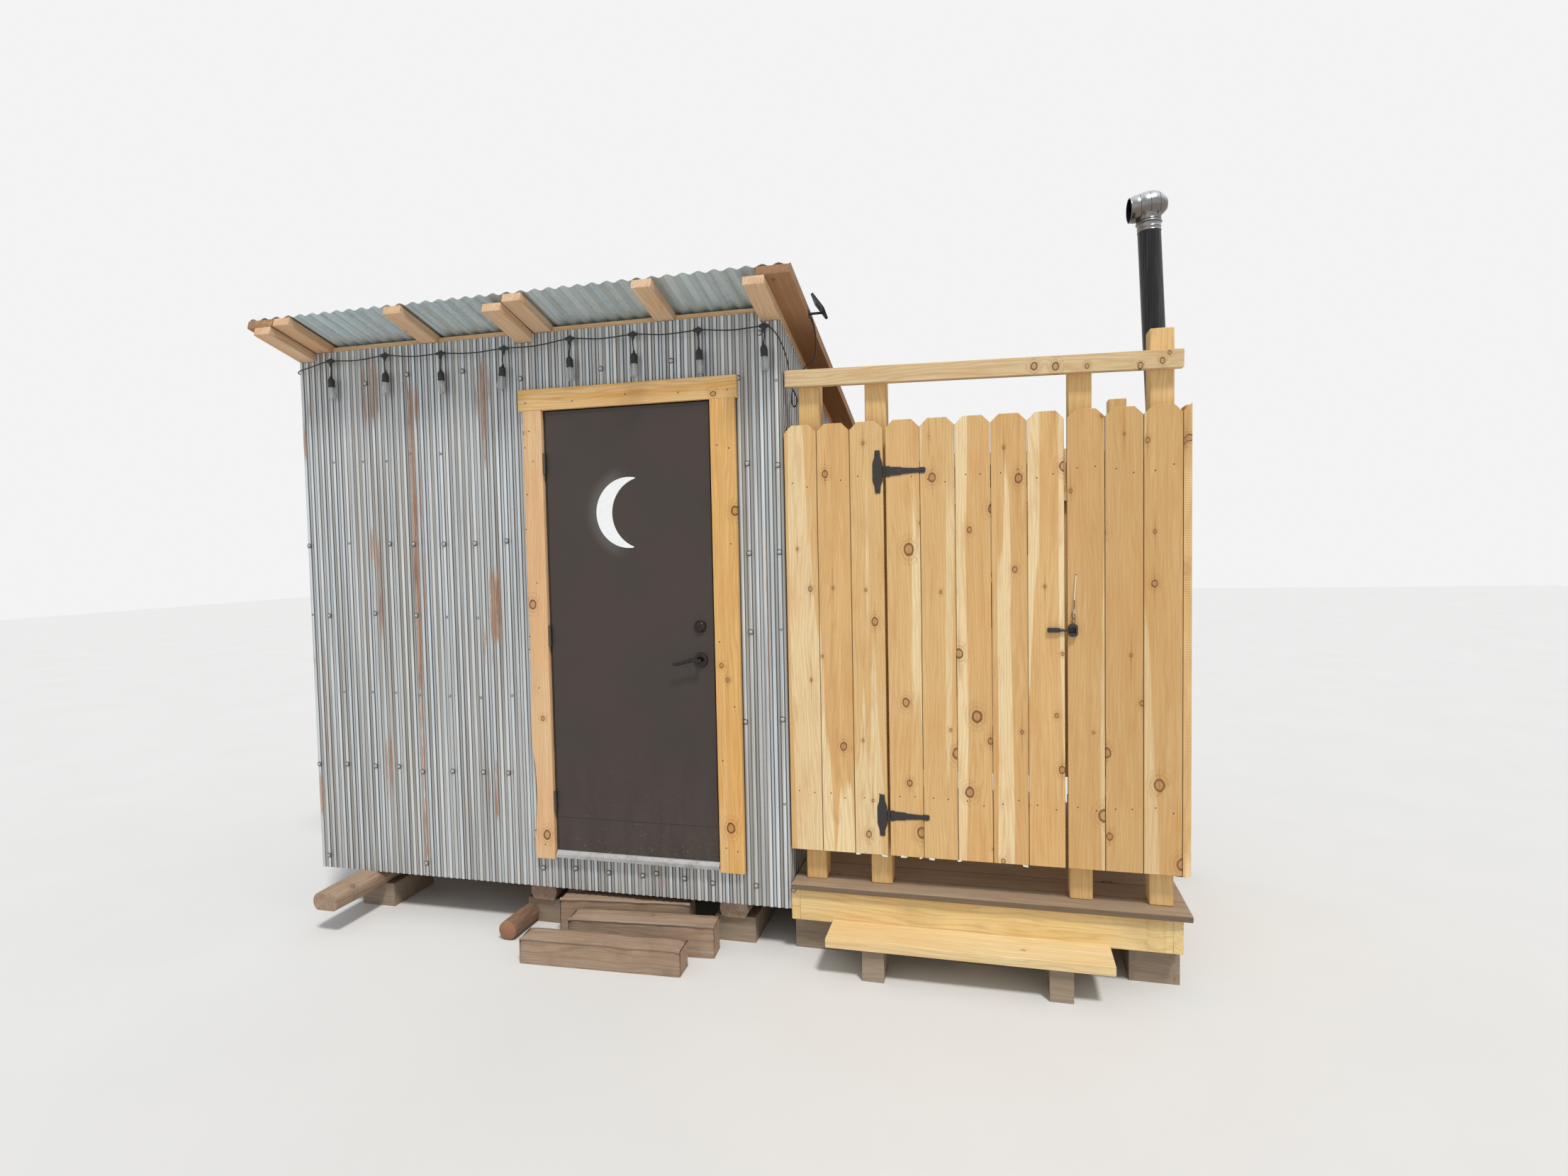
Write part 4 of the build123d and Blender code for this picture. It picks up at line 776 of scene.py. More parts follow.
# %% Sheet screws
def screw(shape, place):
    """A rubber washer under a zinc one and a hexagon head, pointing out along the place's third axis."""
    turned(shape, place, ((12.0, -1.0), (12.6, 0.4), (11.4, 1.6)), steps=14, tone=0.0)
    turned(shape, place, ((9.0, 1.4), (8.8, 2.2), (6.2, 3.2), (5.8, 3.4)), steps=14, tone=1.0)
    turned(shape, place, ((4.9, 3.2), (4.9, 6.6), (3.6, 7.4)), steps=6, tone=0.8)


def crest_near(x):
    return (round(x / WALL_WAVE - 0.25) + 0.25) * WALL_WAVE


def facing(origin, outward=FRONT, up=UP):
    """A place whose third axis points outward."""
    out = Vector(outward).normalized()
    side = Vector(up).cross(out)
    side = side.normalized() if side.length > 0.01 else Vector(RIGHT)
    turn = Matrix((side, out.cross(side), out)).transposed().to_4x4()
    return Matrix.Translation(at(*origin)) @ turn


SCREWS = ((368, 2620), (620, 2646), (916, 2640), (1242, 2584), (8, 1838), (498, 1838), (626, 1834),
          (792, 1830), (950, 1830), (1112, 1838), (126, 1486), (392, 1498), (630, 1488), (14, 730), (174, 738),
          (334, 736), (491, 739), (620, 720), (787, 730), (944, 734), (1106, 736), (50, 262), (634, 264),
          (1262, 290), (1425, 300), (1615, 293), (1773, 293), (1831, 308), (1962, 295), (2121, 285),
          (2307, 290), (2463, 287), (2373, 2697), (2293, 2514), (2313, 2146), (2447, 2133), (2316, 1759),
          (2454, 1761), (2313, 1416), (2286, 1020), (2454, 1036), (1640, 2600), (1980, 2610))
OLD_NAILS = ((172, 2248), (332, 2244), (498, 2238), (624, 2270), (790, 2260), (234, 1846), (8, 1492),
             (786, 1480), (950, 1476), (174, 1106), (334, 1106), (490, 1108), (624, 1098), (786, 1098),
             (952, 1094), (1110, 1108), (2444, 2491), (2444, 1429), (2450, 664))
screws = Shape()
pick = random.Random(11)
for x, z in SCREWS:
    screw(screws, facing((crest_near(x), 0.4, z), (pick.uniform(-0.06, 0.06), -1, pick.uniform(-0.06, 0.06))))
# Old nails: each grey head sits on a dark ring, which is painted shade of the dent round it.
for x, z in OLD_NAILS:
    spot = facing((crest_near(x), 0.6, z), (pick.uniform(-0.2, 0.2), -1, pick.uniform(-0.1, 0.2)))
    turned(screws, spot, ((6.4, -1.0), (6.6, 0.0), (5.6, 0.5)), steps=10, tone=0.0)
    turned(screws, spot, ((4.2, 0.0), (4.0, 1.2), (2.4, 1.8)), steps=10, tone=0.8)
for level in (2300, 1845, 1492, 1105, 738, 268):
    for i in range(5):
        y = inner + WALL_WAVE * (2.25 + i * 12)
        if y < SHED_D - 40 and level < slope_top(y) - 30:
            screw(screws, facing((SHED_W - 0.4, y, level + pick.uniform(-8, 8)), RIGHT))
            screw(screws, facing((0.4, y, level + pick.uniform(-8, 8)), (-1, 0, 0)))
for level in (2080, 1492, 900, 300):
    for i in range(12):
        x = WALL_WAVE * (2.25 + i * 6)
        screw(screws, facing((x, SHED_D - 0.4, level + pick.uniform(-8, 8)), BACK))

look = Look("screw_zinc")
zinc = look.stored("tone", 2).step(0.4, 0.6)
dull = look.clouds(look.place(), 320.0, 3.0, 0.6)
zinc_tone = look.mix(dull.step(0.45, 0.75), (0.52, 0.53, 0.54), (0.34, 0.33, 0.31))
look.finish(Base_Color=look.mix(zinc, (0.035, 0.035, 0.036), zinc_tone), Metallic=zinc * 0.6,
            Roughness=(0.38 + dull * 0.2).clipped(), Normal=look.bump(dull, 0.1, 0.0004))
screws.piece("sheet_screws", look.material, slot="corrugated_metal")

# %% [markdown]
# The roof lies on flat rafters in two layers, all sawn pine, whose cut ends stick out under the
# front eave. A wide board closes each gable side.

# %% Roof timbers
def slope_boards(name, node, material, rows):
    """Boards that lie on the slope, each with its left side, width, layer, seed and tone."""
    shape = Shape()
    for left, width, layer, seed, tone in rows:
        turn = Matrix(((1, 0, 0, left / 1000), (0, 0, 1, ROOF_START / 1000), (0, -1, 0, layer * TIMBER / 1000),
                       (0, 0, 0, 1)))
        board(shape, ROOF_PLACE @ turn, width, TIMBER, ROOF_RUN, seed=seed, tone=tone, edge=1.8, roughness=0.3)
    shape.piece(name, material, nodes=[node], slot="fly_timber" if node == "fly_boards" else "framing_timber")


lower = [(left, RAFTER, 0, 20 + i, 0.3 + 0.2 * i) for i, left in enumerate(LOWER_RAFTERS)]
upper = [(left, RAFTER, 1, 30 + i, 0.2 + 0.25 * i) for i, left in enumerate(UPPER_RAFTERS)]
slope_boards("roof_rafters", "rafters", RAFTER_WOOD, lower + upper)
slope_boards("gable_boards", "fly_boards", FLY_WOOD,
             [(left, FLY, 1, 40 + i, 0.4) for i, left in enumerate(FLY_BOARDS)])

strips = Shape()
spans = [(a + RAFTER + SEAT, b - SEAT) for a, b in zip(LOWER_RAFTERS, LOWER_RAFTERS[1:])]
crossing = [(x, RAFTER) for x in UPPER_RAFTERS] + [(x, FLY) for x in FLY_BOARDS]
for r, (y, foot) in enumerate(((inner, underside(inner + RAFTER) - LOWER_UNDER),
                               (SHED_D - inner - TIMBER, underside(SHED_D - inner) - LOWER_UNDER))):
    head, notch_floor = underside(y) + 24.0, underside(y + TIMBER) - SEAT
    for k, (x0, x1) in enumerate(spans):
        how = {"seed": 50 + 2 * r + k, "tone": 0.6}
        beam(strips, (x0, y, foot), (x1, y + TIMBER, notch_floor), "x", **how)
        cuts = [x for left, width in crossing for x in (left - SEAT, left + width + SEAT)]
        cuts = [x0] + sorted(x for x in cuts if x0 < x < x1) + [x1]
        for a, b in zip(cuts, cuts[1:]):
            covered = any(left < (a + b) / 2 < left + width for left, width in crossing)
            if not covered and b - a > 6:
                beam(strips, (a, y, notch_floor), (b, y + TIMBER, head), "x", **how)
strips.piece("eave_boards", PALE_TRIM, nodes=["eave_strips"], slot="framing_timber")

# %% [markdown]
# The framing inside is hidden behind the sheets and shows only through the open door, so the
# model's own timbers stay and only get a pine finish.

# %% Framing and floor
dress(HIDDEN_WOOD, "front_wall_frame", "side_wall_frames", "back_wall_frame")
dress(HIDDEN_JOIST, "floor_frame")
dress(PLYWOOD, "floor")
dress(BLOCK_WOOD, "foundation_blocks")

# %% [markdown]
# Rough boards with saw marks frame the door. The left one keeps its live edge: its outer side
# wanders and carries a strip of bark. The edge is a function of height, and the bark follows it.

# %% Door trim
TRIM_FRONT, TRIM_THICK, LEFT_TRIM = -25.0, 24.7, 104.0
TRIM_FOOT = METAL_FOOT + 146.0
TRIM_LEFT, TRIM_RIGHT, TRIM_HEAD = DOOR_LEFT - 14.0, DOOR_RIGHT + 8.0, DOOR_HEAD + 6.0
EDGE_LINE = ((346, 8), (400, 3), (500, 9), (600, 17), (700, 19), (800, 12), (850, 6), (900, 2), (950, 0.5),
             (1000, 2), (1100, 6), (1200, 9), (1400, 8), (1600, 6), (2000, 7), (2300, 8), (2430, 12))


def live_edge(z):
    """How far the left board's outer side lies in from the model's straight one, z above its foot."""
    level = z + TRIM_FOOT
    for (z0, e0), (z1, e1) in zip(EDGE_LINE, EDGE_LINE[1:]):
        if level <= z1:
            break
    share = min(max((level - z0) / (z1 - z0), 0.0), 1.0)
    smooth = e0 + (e1 - e0) * share * share * (3.0 - 2.0 * share)
    return min(max(smooth + 1.0 + 2.4 * noise.noise(Vector((level / 45, 9.4, 0))), 0.3), 24.0)


def trim_board(name, node, material, place, width, length, **how):
    shape = Shape()
    board(shape, place, width, TRIM_THICK, length, edge=1.6, roughness=0.7, **how)
    shape.piece(name, material, nodes=[node], slot="trim_timber")


trim_height = TRIM_HEAD - SEAT - TRIM_FOOT
head_left, head_right = TRIM_LEFT - 116.0, TRIM_RIGHT + 124.0
trim_board("trim_left", "door_trim_left", PALE_TRIM, axes((TRIM_LEFT - LEFT_TRIM, TRIM_FRONT, TRIM_FOOT)), LEFT_TRIM,
           trim_height, seed=61, tone=0.4, step=45.0, edge_left=live_edge)
trim_board("trim_right", "door_trim_right", TRIM_WOOD, axes((TRIM_RIGHT, TRIM_FRONT, TRIM_FOOT)), 112.0,
           trim_height, seed=64, step=60.0)
trim_board("trim_head", "door_trim_head", TRIM_WOOD, axes((head_left, -0.3, TRIM_HEAD), UP, RIGHT), 97.0,
           head_right - head_left, seed=67, step=60.0)

BARK_OUTLINE = ((-23.6, -0.05), (-20.5, 0.35), (-14.0, 0.75), (-6.0, 1.0), (-0.8, 1.0), (-0.8, -0.1), (-22.0, -0.2))
bark = Shape()
rings, count = [], 60
for i in range(count + 1):
    z = 4.0 + (trim_height - 8.0) * i / count
    x = TRIM_LEFT - LEFT_TRIM + live_edge(z)
    wide = min(live_edge(z) - 0.4, 11.0 if z < 620.0 else 5.0)
    wide *= 0.35 if z > 560.0 and noise.noise(Vector((z / 120, 8.0, 2.0))) > 0.1 else 1.0
    ring = []
    for y, out in BARK_OUTLINE:
        jag = 0.24 * max(noise.noise(Vector((z / 12, y / 5, 1.0))), 0.0)
        ring.append(at(x - wide * (out - jag), y, TRIM_FOOT + z))
    rings.append(ring)
bark.loft(rings)
bark.piece("trim_bark", painted("bark", (0.32, 0.125, 0.055), (0.075, 0.036, 0.022), (240.0, 240.0, 60.0), 4.0, 0.65,
                                window=(0.35, 0.65), rough=0.9, bump=(0.7, 0.002)), slot="trim_timber")

# %% [markdown]
# Nails hold the trim, the fence boards and the rail. Each is a small flat head, set a hair proud.

# %% Nail heads
def nail(shape, x, y, z, outward=FRONT, size=3.4):
    turned(shape, facing((x, y, z), outward), ((size, -0.4), (size, 0.35), (size * 0.6, 0.6)), steps=8)


def old_steel(name, colour, rough):
    return painted(name, colour, shaded(colour, 0.35), 320.0, window=(0.45, 0.75), rough=rough, rough_change=0.2,
                   Metallic=0.85)


trim_nails = Shape()
for x, z in ((1278, 2336), (1254, 2262), (1294, 2198), (1258, 2048), (1246, 1888), (1294, 1640), (1246, 1392),
             (1242, 1331), (1286, 1152), (1242, 478), (1236, 438), (1291, 414), (2183, 2229), (2237, 2213),
             (2236, 1801), (2174, 1374), (2176, 849), (2183, 459), (2236, 447), (2236, 1090)):
    nail(trim_nails, x, TRIM_FRONT, z)
for x in (head_left + 40.0, 1500.0, 1760.0, 2010.0, head_right - 40.0):
    nail(trim_nails, x, TRIM_FRONT, TRIM_HEAD + pick.uniform(24, 72))
NAIL_METAL = old_steel("nail_steel", (0.12, 0.105, 0.09), 0.5)
trim_nails.piece("trim_nails", NAIL_METAL, slot="hinge_steel")

# %% [markdown]
# The door is a flush steel slab in dark brown satin paint: plain, but not flat in colour. It has
# faint roller marks, a joint line near its foot, a dusty lower half and chips along the bottom. A
# thin mist of white paint lies on its outer face beside the moon.

# %% Door slab
def door_paint(name, base, chips=True):
    look = Look(name)
    spot = look.place()
    height_above = look.parts(spot)[2] - DOOR_FOOT / 1000
    roller = look.drawn_out(spot, (150.0, 150.0, 30.0), 3.0, 0.6)
    slow = look.clouds(spot, 2.6, 3.0, 0.6)
    dust = look.drawn_out(spot, (14.0, 14.0, 3.0), 5.0, 0.65)
    low = 1.0 - height_above.step(0.0, 0.55)
    colour = look.layered(base, (slow.step(0.3, 0.75) * 0.55, shaded(base, 1.28)),
                          (low * dust.step(0.42, 0.75) * 0.16, (0.20, 0.16, 0.13)))
    relief = roller * 0.35
    if chips:
        specks = look.clouds(spot, 75.0, 4.0, 0.7)
        chip = (specks.step(0.655, 0.675) * (1.0 - height_above.step(0.01, 0.16))).clipped()
        scuff = look.drawn_out(spot, (22.0, 22.0, 90.0), 5.0, 0.7).step(0.63, 0.66) * low
        line = height_above.near(0.155, 0.0026)
        side, deep, high = look.away_from(*MOON_CENTRE)
        mist = ((side * side + high * high) ** 0.5).near(0.155, 0.06) * side.step(0.0, -0.08)
        mist = mist * deep.step(0.004, 0.001)
        colour = look.layered(colour, (chip, (0.36, 0.29, 0.23)), (scuff * 0.35, (0.20, 0.165, 0.14)),
                              (line * 0.85, (0.02, 0.017, 0.015)),
                              (mist * (0.10 + dust * 0.10), (0.45, 0.45, 0.45)))
        relief = relief - line * 1.4 - chip * 0.6
    return look.finish(Base_Color=colour, Roughness=(0.40 + slow * 0.16 + low * 0.10).clipped(),
                       Normal=look.bump(relief, 0.10, 0.0012), Specular_IOR_Level=0.36)


MOON_CENTRE = (DOOR_LEFT + 403.0, DOOR_FRONT, DOOR_FOOT + 1561.0)
DOOR_PAINT = door_paint("door_brown", (0.050, 0.038, 0.032))
JAMB_PAINT = door_paint("jamb_brown", (0.046, 0.035, 0.030), chips=False)
slab = Shape()
slab.loft([[at(x, y, DOOR_FOOT + z)
            for x, y in eased(DOOR_LEFT + pull, DOOR_RIGHT - pull, DOOR_FRONT + pull, DOOR_BACK - pull, 2.0)]
           for z, pull in ((0.0, 1.2), (1.2, 0.0), (DOOR_H - 1.2, 0.0), (DOOR_H, 1.2))])
slab.piece("door_slab", DOOR_PAINT, body="door", nodes=["door"], slot="door_paint")
dress(JAMB_PAINT, "door_frame")

# %% [markdown]
# The sill is an aluminium extrusion with grooves along it. One profile is drawn and carried from
# jamb to jamb.

# %% Threshold
profile = [(-30.0, 358.0), (-30.0, 374.0), (-28.6, 375.6), (-26.0, 377.4), (-25.2, 376.6), (-23.6, 379.4),
           (-21.6, 381.0), (-20.8, 380.2), (-19.2, 383.4), (-17.0, 385.4), (-16.0, 389.4), (-15.0, 390.0),
           (2.0, 390.0), (3.0, 388.6), (5.0, 388.6), (6.0, 390.0), (35.5, 390.0), (36.5, 389.0), (36.5, 358.0),
           (0.0, 358.0), (0.0, 363.0)]
sill = Shape()
left, right = DOOR_LEFT - 4.7, DOOR_RIGHT + 4.7
sill.loft([[at(x, y, z) for y, z in profile] for x in (left, left + 1.0, right - 1.0, right)])
look = Look("sill_aluminium")
spot = look.place()
scratch = look.drawn_out(spot, (8.0, 260.0, 260.0), 4.0, 0.6)
grime = look.clouds(spot, 24.0, 5.0, 0.65)
look.finish(Base_Color=look.mix(grime.step(0.45, 0.75) * 0.6, (0.50, 0.50, 0.50), (0.20, 0.17, 0.14)), Metallic=0.75,
            Roughness=(0.34 + grime * 0.3).clipped(), Normal=look.bump(scratch, 0.2, 0.0006))
sill.piece("door_sill", look.material, nodes=["threshold"], slot="threshold_metal", angle=25)

# %% [markdown]
# A white crescent is set on the door with its horns to the right. Its two arcs are drawn as points
# and given a soft edge; the paint is chalky, with a few faint marks.

# %% Moon
MOON_R, MOON_HORN, MOON_BODY, MOON_TURN = 158.5, 35.0, 77.0, math.radians(-2.5)
tip_z = math.sqrt(MOON_R ** 2 - MOON_HORN ** 2)
waist = MOON_BODY - MOON_R
hollow = (waist ** 2 - MOON_HORN ** 2 - tip_z ** 2) / (2 * (waist - MOON_HORN))


def moon_arc(middle, radius):
    """One arc of the crescent, from the upper horn round the left to the lower horn."""
    start = math.atan2(tip_z, MOON_HORN - middle)
    angles = [start + (2 * math.pi - 2 * start) * i / 56 for i in range(1, 56)]
    return [(middle + radius * math.cos(a), radius * math.sin(a)) for a in angles]


moon_turn = Matrix.Translation(at(*MOON_CENTRE)) @ Matrix.Rotation(-MOON_TURN, 4, "Y")
moon = Shape()
rings = []
for (ox, oz), (ix, iz) in zip(moon_arc(0.0, MOON_R), moon_arc(hollow, abs(waist - hollow))):
    width = max(math.hypot(ox - ix, oz - iz), 0.01)
    soft = min(1.0, width * 0.2) / width
    sx, sz = (ox - ix) * soft, (oz - iz) * soft
    section = ((ox, 0.0, oz), (ox, -2.0, oz), (ox - sx, -2.9, oz - sz), (ix + sx, -2.9, iz + sz), (ix, -2.0, iz),
               (ix, 0.0, iz))
    rings.append([put(moon_turn, *point) for point in section])
moon.loft(rings)
moon_white = painted("moon_white", (0.90, 0.92, 0.92), (0.80, 0.81, 0.80), 38.0, 4.0, 0.65, window=(0.45, 0.8),
                     share=0.5, rough=0.55, rough_change=0.2, bump=(0.08, 0.0006))
moon.piece("moon", moon_white, body="door", nodes=["door_moon"], slot="moon_paint")

# %% [markdown]
# The deadbolt and the lever have an aged nickel finish that looks dark against the paint. The roses
# and the bolt are turned forms; the lever is a soft bar lofted along a wave.

# %% Deadbolt and roses
look = Look("aged_nickel")
spot = look.place()
brushed = look.drawn_out(spot, (300.0, 300.0, 900.0), 2.0)
rub = look.clouds(spot, 60.0, 4.0, 0.6)
look.finish(Base_Color=look.mix(rub.step(0.4, 0.7), (0.052, 0.046, 0.042), (0.024, 0.021, 0.019)), Metallic=0.9,
            Roughness=(0.16 + brushed * 0.10 + rub * 0.08).clipped(), Normal=look.bump(brushed, 0.05, 0.0003))
NICKEL = look.material
LOCK_X = DOOR_RIGHT - 62.0
BOLT_Z, LEVER_Z = DOOR_FOOT + 1050.0, DOOR_FOOT + 902.0
lock = Shape()
turned(lock, facing((LOCK_X, DOOR_FRONT, BOLT_Z)),
       ((27.0, 0.0), (27.0, 7.0), (25.4, 9.6), (22.0, 10.6), (21.0, 12.6), (18.6, 14.6), (13.0, 15.4), (12.6, 13.9),
        (8.0, 13.9), (7.6, 15.7), (0.4, 15.9)), steps=36)
plate(lock, axes((LOCK_X - 1.1, -28.4, BOLT_Z - 5.0)), oblong(0, 2.2, 0, 10), 0.5, edge=0.2)
for y, outward in ((DOOR_FRONT, FRONT), (DOOR_BACK, BACK)):
    turned(lock, facing((LOCK_X, y, LEVER_Z), outward),
           ((33.0, 0.0), (33.0, 3.0), (32.0, 5.4), (29.6, 6.4), (28.8, 8.2), (25.0, 9.6), (14.0, 10.0), (13.2, 9.4),
            (6.2, 9.4)), steps=40)
turned(lock, facing((LOCK_X, DOOR_BACK, BOLT_Z), BACK),
       ((27.0, 0.0), (27.0, 5.0), (24.8, 8.0), (12.0, 10.0), (1.0, 10.0)), steps=36)
lock.loft([[at(LOCK_X + half * math.cos(a), DOOR_BACK + out, BOLT_Z + wide * math.sin(a)) for a in around(16)]
           for out, half, wide in ((9.0, 6.0, 4.0), (11.0, 15.4, 4.0), (18.0, 16.8, 3.6), (24.0, 16.2, 3.2),
                                   (25.8, 14.6, 2.2))])
lock.piece("lock_and_roses", NICKEL, body="door", nodes=["door_lock"], slot="nickel", angle=28)

# %% Lever
LEVER_OUT = 44.5
LEVER_LINE = ((17.0, 0.0, 3.0, 3.0), (14.0, 0.0, 8.4, 4.8), (4.0, 0.5, 10.4, 5.5), (-10.0, 3.2, 9.4, 5.5),
              (-26.0, 3.8, 8.2, 5.3), (-42.0, 0.8, 7.6, 5.2), (-58.0, -3.8, 7.4, 5.1), (-74.0, -9.0, 7.2, 5.1),
              (-90.0, -12.8, 7.2, 5.0), (-104.0, -14.8, 7.0, 4.9), (-113.0, -15.2, 6.2, 4.4),
              (-118.5, -15.2, 3.4, 2.6))
lever = Shape()
for side, face in ((-1, DOOR_FRONT), (1, DOOR_BACK)):
    turned(lever, facing((LOCK_X, face + side * 10.5, LEVER_Z), (0, side, 0)),
           ((10.0, 0.0), (9.4, 2.0), (8.2, 9.0), (8.6, 17.0), (9.8, 23.0), (9.8, 28.0)), steps=20)
    lever.loft([[at(LOCK_X + x, face + side * LEVER_OUT + deep * math.cos(a), LEVER_Z + z + half * math.sin(a))
                 for a in around(18)] for x, z, half, deep in LEVER_LINE])
rod(lever, [at(LOCK_X, y, LEVER_Z) for y in (-23.0, 0.0, 43.0)], 4.0, sides=12)
lever.piece("lever_handles", NICKEL, body="lever", nodes=["door_lever"], slot="nickel", angle=40)

# %% [markdown]
# The butt hinges show only their barrels between the door and the trim. The model's own leaves and
# knuckles are right, so they stay and get a worn steel finish.

# %% Hinge finish
HINGE_STEEL = old_steel("hinge_steel", (0.13, 0.115, 0.10), 0.40)
dress(HINGE_STEEL, "jamb_hinges", "door_hinges")

# %% [markdown]
# String lights hang along the front wall. Their cable is one NURBS curve through the model's own
# route, so it runs in soft bends: clip to clip, down the right corner, in a loop, and up to the panel.

# %% Light cable
HOOK_FIRST, HOOK_LAST, HOOK_LEVEL = 207.0, SHED_W - 65.0, 2732.0
HOOK_SHIFTS = ((0, 2), (-4, 6), (-9, -8), (12, -11), (34, 6), (27, 0), (18, -7), (-1, -14))
HOOK_Y = -24.0
hook_step = (HOOK_LAST - HOOK_FIRST) / (len(HOOK_SHIFTS) - 1)
hooks = [(HOOK_FIRST + i * hook_step + dx, HOOK_LEVEL + dz) for i, (dx, dz) in enumerate(HOOK_SHIFTS)]
route = [(-8.0, 260.0, HOOK_LEVEL - 70.0), (-12.0, 60.0, HOOK_LEVEL - 42.0), (-14.0, -18.0, HOOK_LEVEL - 36.0),
         (hooks[0][0] / 2, HOOK_Y, HOOK_LEVEL - 16.0)]
for i, (x, z) in enumerate(hooks):
    route += [(x - 26.0, HOOK_Y, z), (x + 26.0, HOOK_Y, z)]
    if i + 1 < len(hooks):
        route.append(((x + hooks[i + 1][0]) / 2, HOOK_Y, (z + hooks[i + 1][1]) / 2 - 12.0))
BOARD_EDGE = FLY_BOARDS[1] + FLY
board_edge = BOARD_EDGE + 3.3
for dx, y, dz in ((0, -18, 70), (14, 20, 122), (17, 64, 172), (18, 68, 250), (52, 50, 300), (56, 50, 330),
                  (40, 66, 352), (14, 110, 320), (14, 150, 230), (60, 186, 149)):
    route.append((SHED_W + dx, y, HOOK_LEVEL - dz))
route.append((board_edge, 205.0, HOOK_LEVEL - 120.0))
route += [(board_edge, y, underside(y) + 19.0) for y in (220.0, 120.0)]
cable_data = bpy.data.curves.new("light_cable", "CURVE")
cable_data.dimensions = "3D"
cable_data.resolution_u = 5
cable_data.bevel_depth = 0.0028
cable_data.bevel_resolution = 2
cable_data.use_fill_caps = True
line = cable_data.splines.new("NURBS")
line.points.add(len(route) - 1)
for point, (x, y, z) in zip(line.points, route):
    point.co = (*at(x, y, z), 1.0)
line.order_u = 3
line.use_endpoint_u = True
cable = bpy.data.objects.new("string_light_cable", cable_data)
bpy.context.scene.collection.objects.link(cable)
RUBBER = painted("cable_rubber", (0.013, 0.013, 0.014), (0.045, 0.043, 0.040), 90.0, window=(0.4, 0.8), share=0.6,
                 rough=0.42, rough_change=0.25)
cable_data.materials.append(RUBBER)
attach(cable, "shed")
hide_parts("light_cable")
print("cable of", len(route), "control points")

# %% [markdown]
# Each light has a hub moulded round the cable with a hook above it, a short drop wire that leans a
# little, a ribbed socket, and a clear bulb whose white stem and bright base show through the glass.

# %% Hubs, sockets and bulbs
LEANS = ((0.05, -2), (-0.07, 3), (0.03, -2), (-0.16, -6), (0.05, -5), (-0.04, 4), (0.06, 2), (0.07, -4))
HOOK_TURNS = ((0.0, -1.2), (0.1, -0.3), (0.2, 0.7), (0.3, 1.6), (0.45, 2.5), (0.6, 3.4), (0.8, 4.2), (1.3, 4.5))
SOCKET = ((4.0, -5), (5.4, 1), (6.0, 6), (10.0, 8), (12.8, 11), (14.6, 17), (14.6, 20), (15.4, 20.6), (15.4, 23.4),
          (14.8, 24), (14.8, 27), (15.5, 27.6), (15.5, 30.4), (14.8, 31), (14.8, 44), (15.8, 45), (15.8, 49.5),
          (14.4, 50.0), (13.4, 49.6))
BULB = [(12.2, 46), (12.6, 54), (13.6, 60), (15.6, 67), (17.6, 75), (18.6, 84), (18.4, 92), (17.0, 100), (14.2, 107),
        (9.6, 112), (4.6, 114), (0.3, 114.5)]
inner_side = [(max(r - 0.9, 0.25), h - 0.7) for r, h in BULB[::-1]]
sockets, glass, stems = Shape(), Shape(), Shape()
for (x, z), (lean, drift) in zip(hooks, LEANS):
    turned(sockets, facing((x - 22.0, HOOK_Y, z), RIGHT),
           ((4.2, 0), (6.8, 2), (7.6, 8), (9.6, 15), (10.4, 22), (9.6, 29), (7.6, 36), (6.8, 42), (4.2, 44)), steps=14)
    turned(sockets, facing((x, HOOK_Y, z - 3.0), (0, 0, -1)),
           ((9.6, 0), (9.2, 6), (7.0, 12), (5.4, 13), (5.0, 20), (4.0, 24)), steps=14)
    rod(sockets, [at(x + 7.5 * math.cos(a), HOOK_Y + 1.0 + 14.0 * t, z + 9.0 + 7.0 * math.sin(a))
                  for t, a in HOOK_TURNS], 1.9, sides=6)
    rod(sockets, [at(x, HOOK_Y, z - 18.0), at(x + drift * 0.2 + 40 * lean, HOOK_Y, z - 36.0),
                  at(x + drift * 0.7 + 30 * lean, HOOK_Y, z - 56.0), at(x + drift, HOOK_Y, z - 76.0),
                  at(x + drift, HOOK_Y, z - 80.0)], 2.8)
    hang = facing((x + drift, HOOK_Y, z - 76.0), (lean, 0.0, -1.0), up=BACK)
    turned(sockets, hang, SOCKET, steps=20)
    turned(glass, hang, BULB + inner_side, steps=24, caps=False)
    turned(stems, hang, ((2.2, 49), (2.4, 52), (2.0, 56), (2.0, 90), (3.2, 92), (3.4, 95), (1.6, 97)), steps=10,
           tone=0.9)
    for a in around(4):
        filament = [put(hang, math.cos(a + 0.4) * r, math.sin(a + 0.4) * r, h)
                    for r, h in ((2.0, 56), (5.6, 66), (6.0, 78), (2.4, 93))]
        rod(stems, filament, 0.8, sides=5, tone=0.2)
sockets.piece("light_hubs_and_sockets", RUBBER, nodes=["light_sockets"], slot="cable", angle=32)
bulb_glass = painted("bulb_glass", (0.96, 0.97, 0.98), (0.86, 0.88, 0.90), 70.0, rough=0.02, rough_change=0.08,
                     bump=(0.05, 0.0004), Transmission_Weight=0.94, IOR=1.45)
glass.piece("bulb_glass", bulb_glass, nodes=["light_bulbs"], slot="bulb_glass", angle=60)
look = Look("bulb_stems")
glow = look.clouds(look.place(), 120.0, 2.0, 0.5)
brass = look.mix(glow, (0.74, 0.66, 0.42), (0.60, 0.50, 0.28))
white = look.mix(glow, (0.93, 0.93, 0.91), (0.80, 0.80, 0.78))
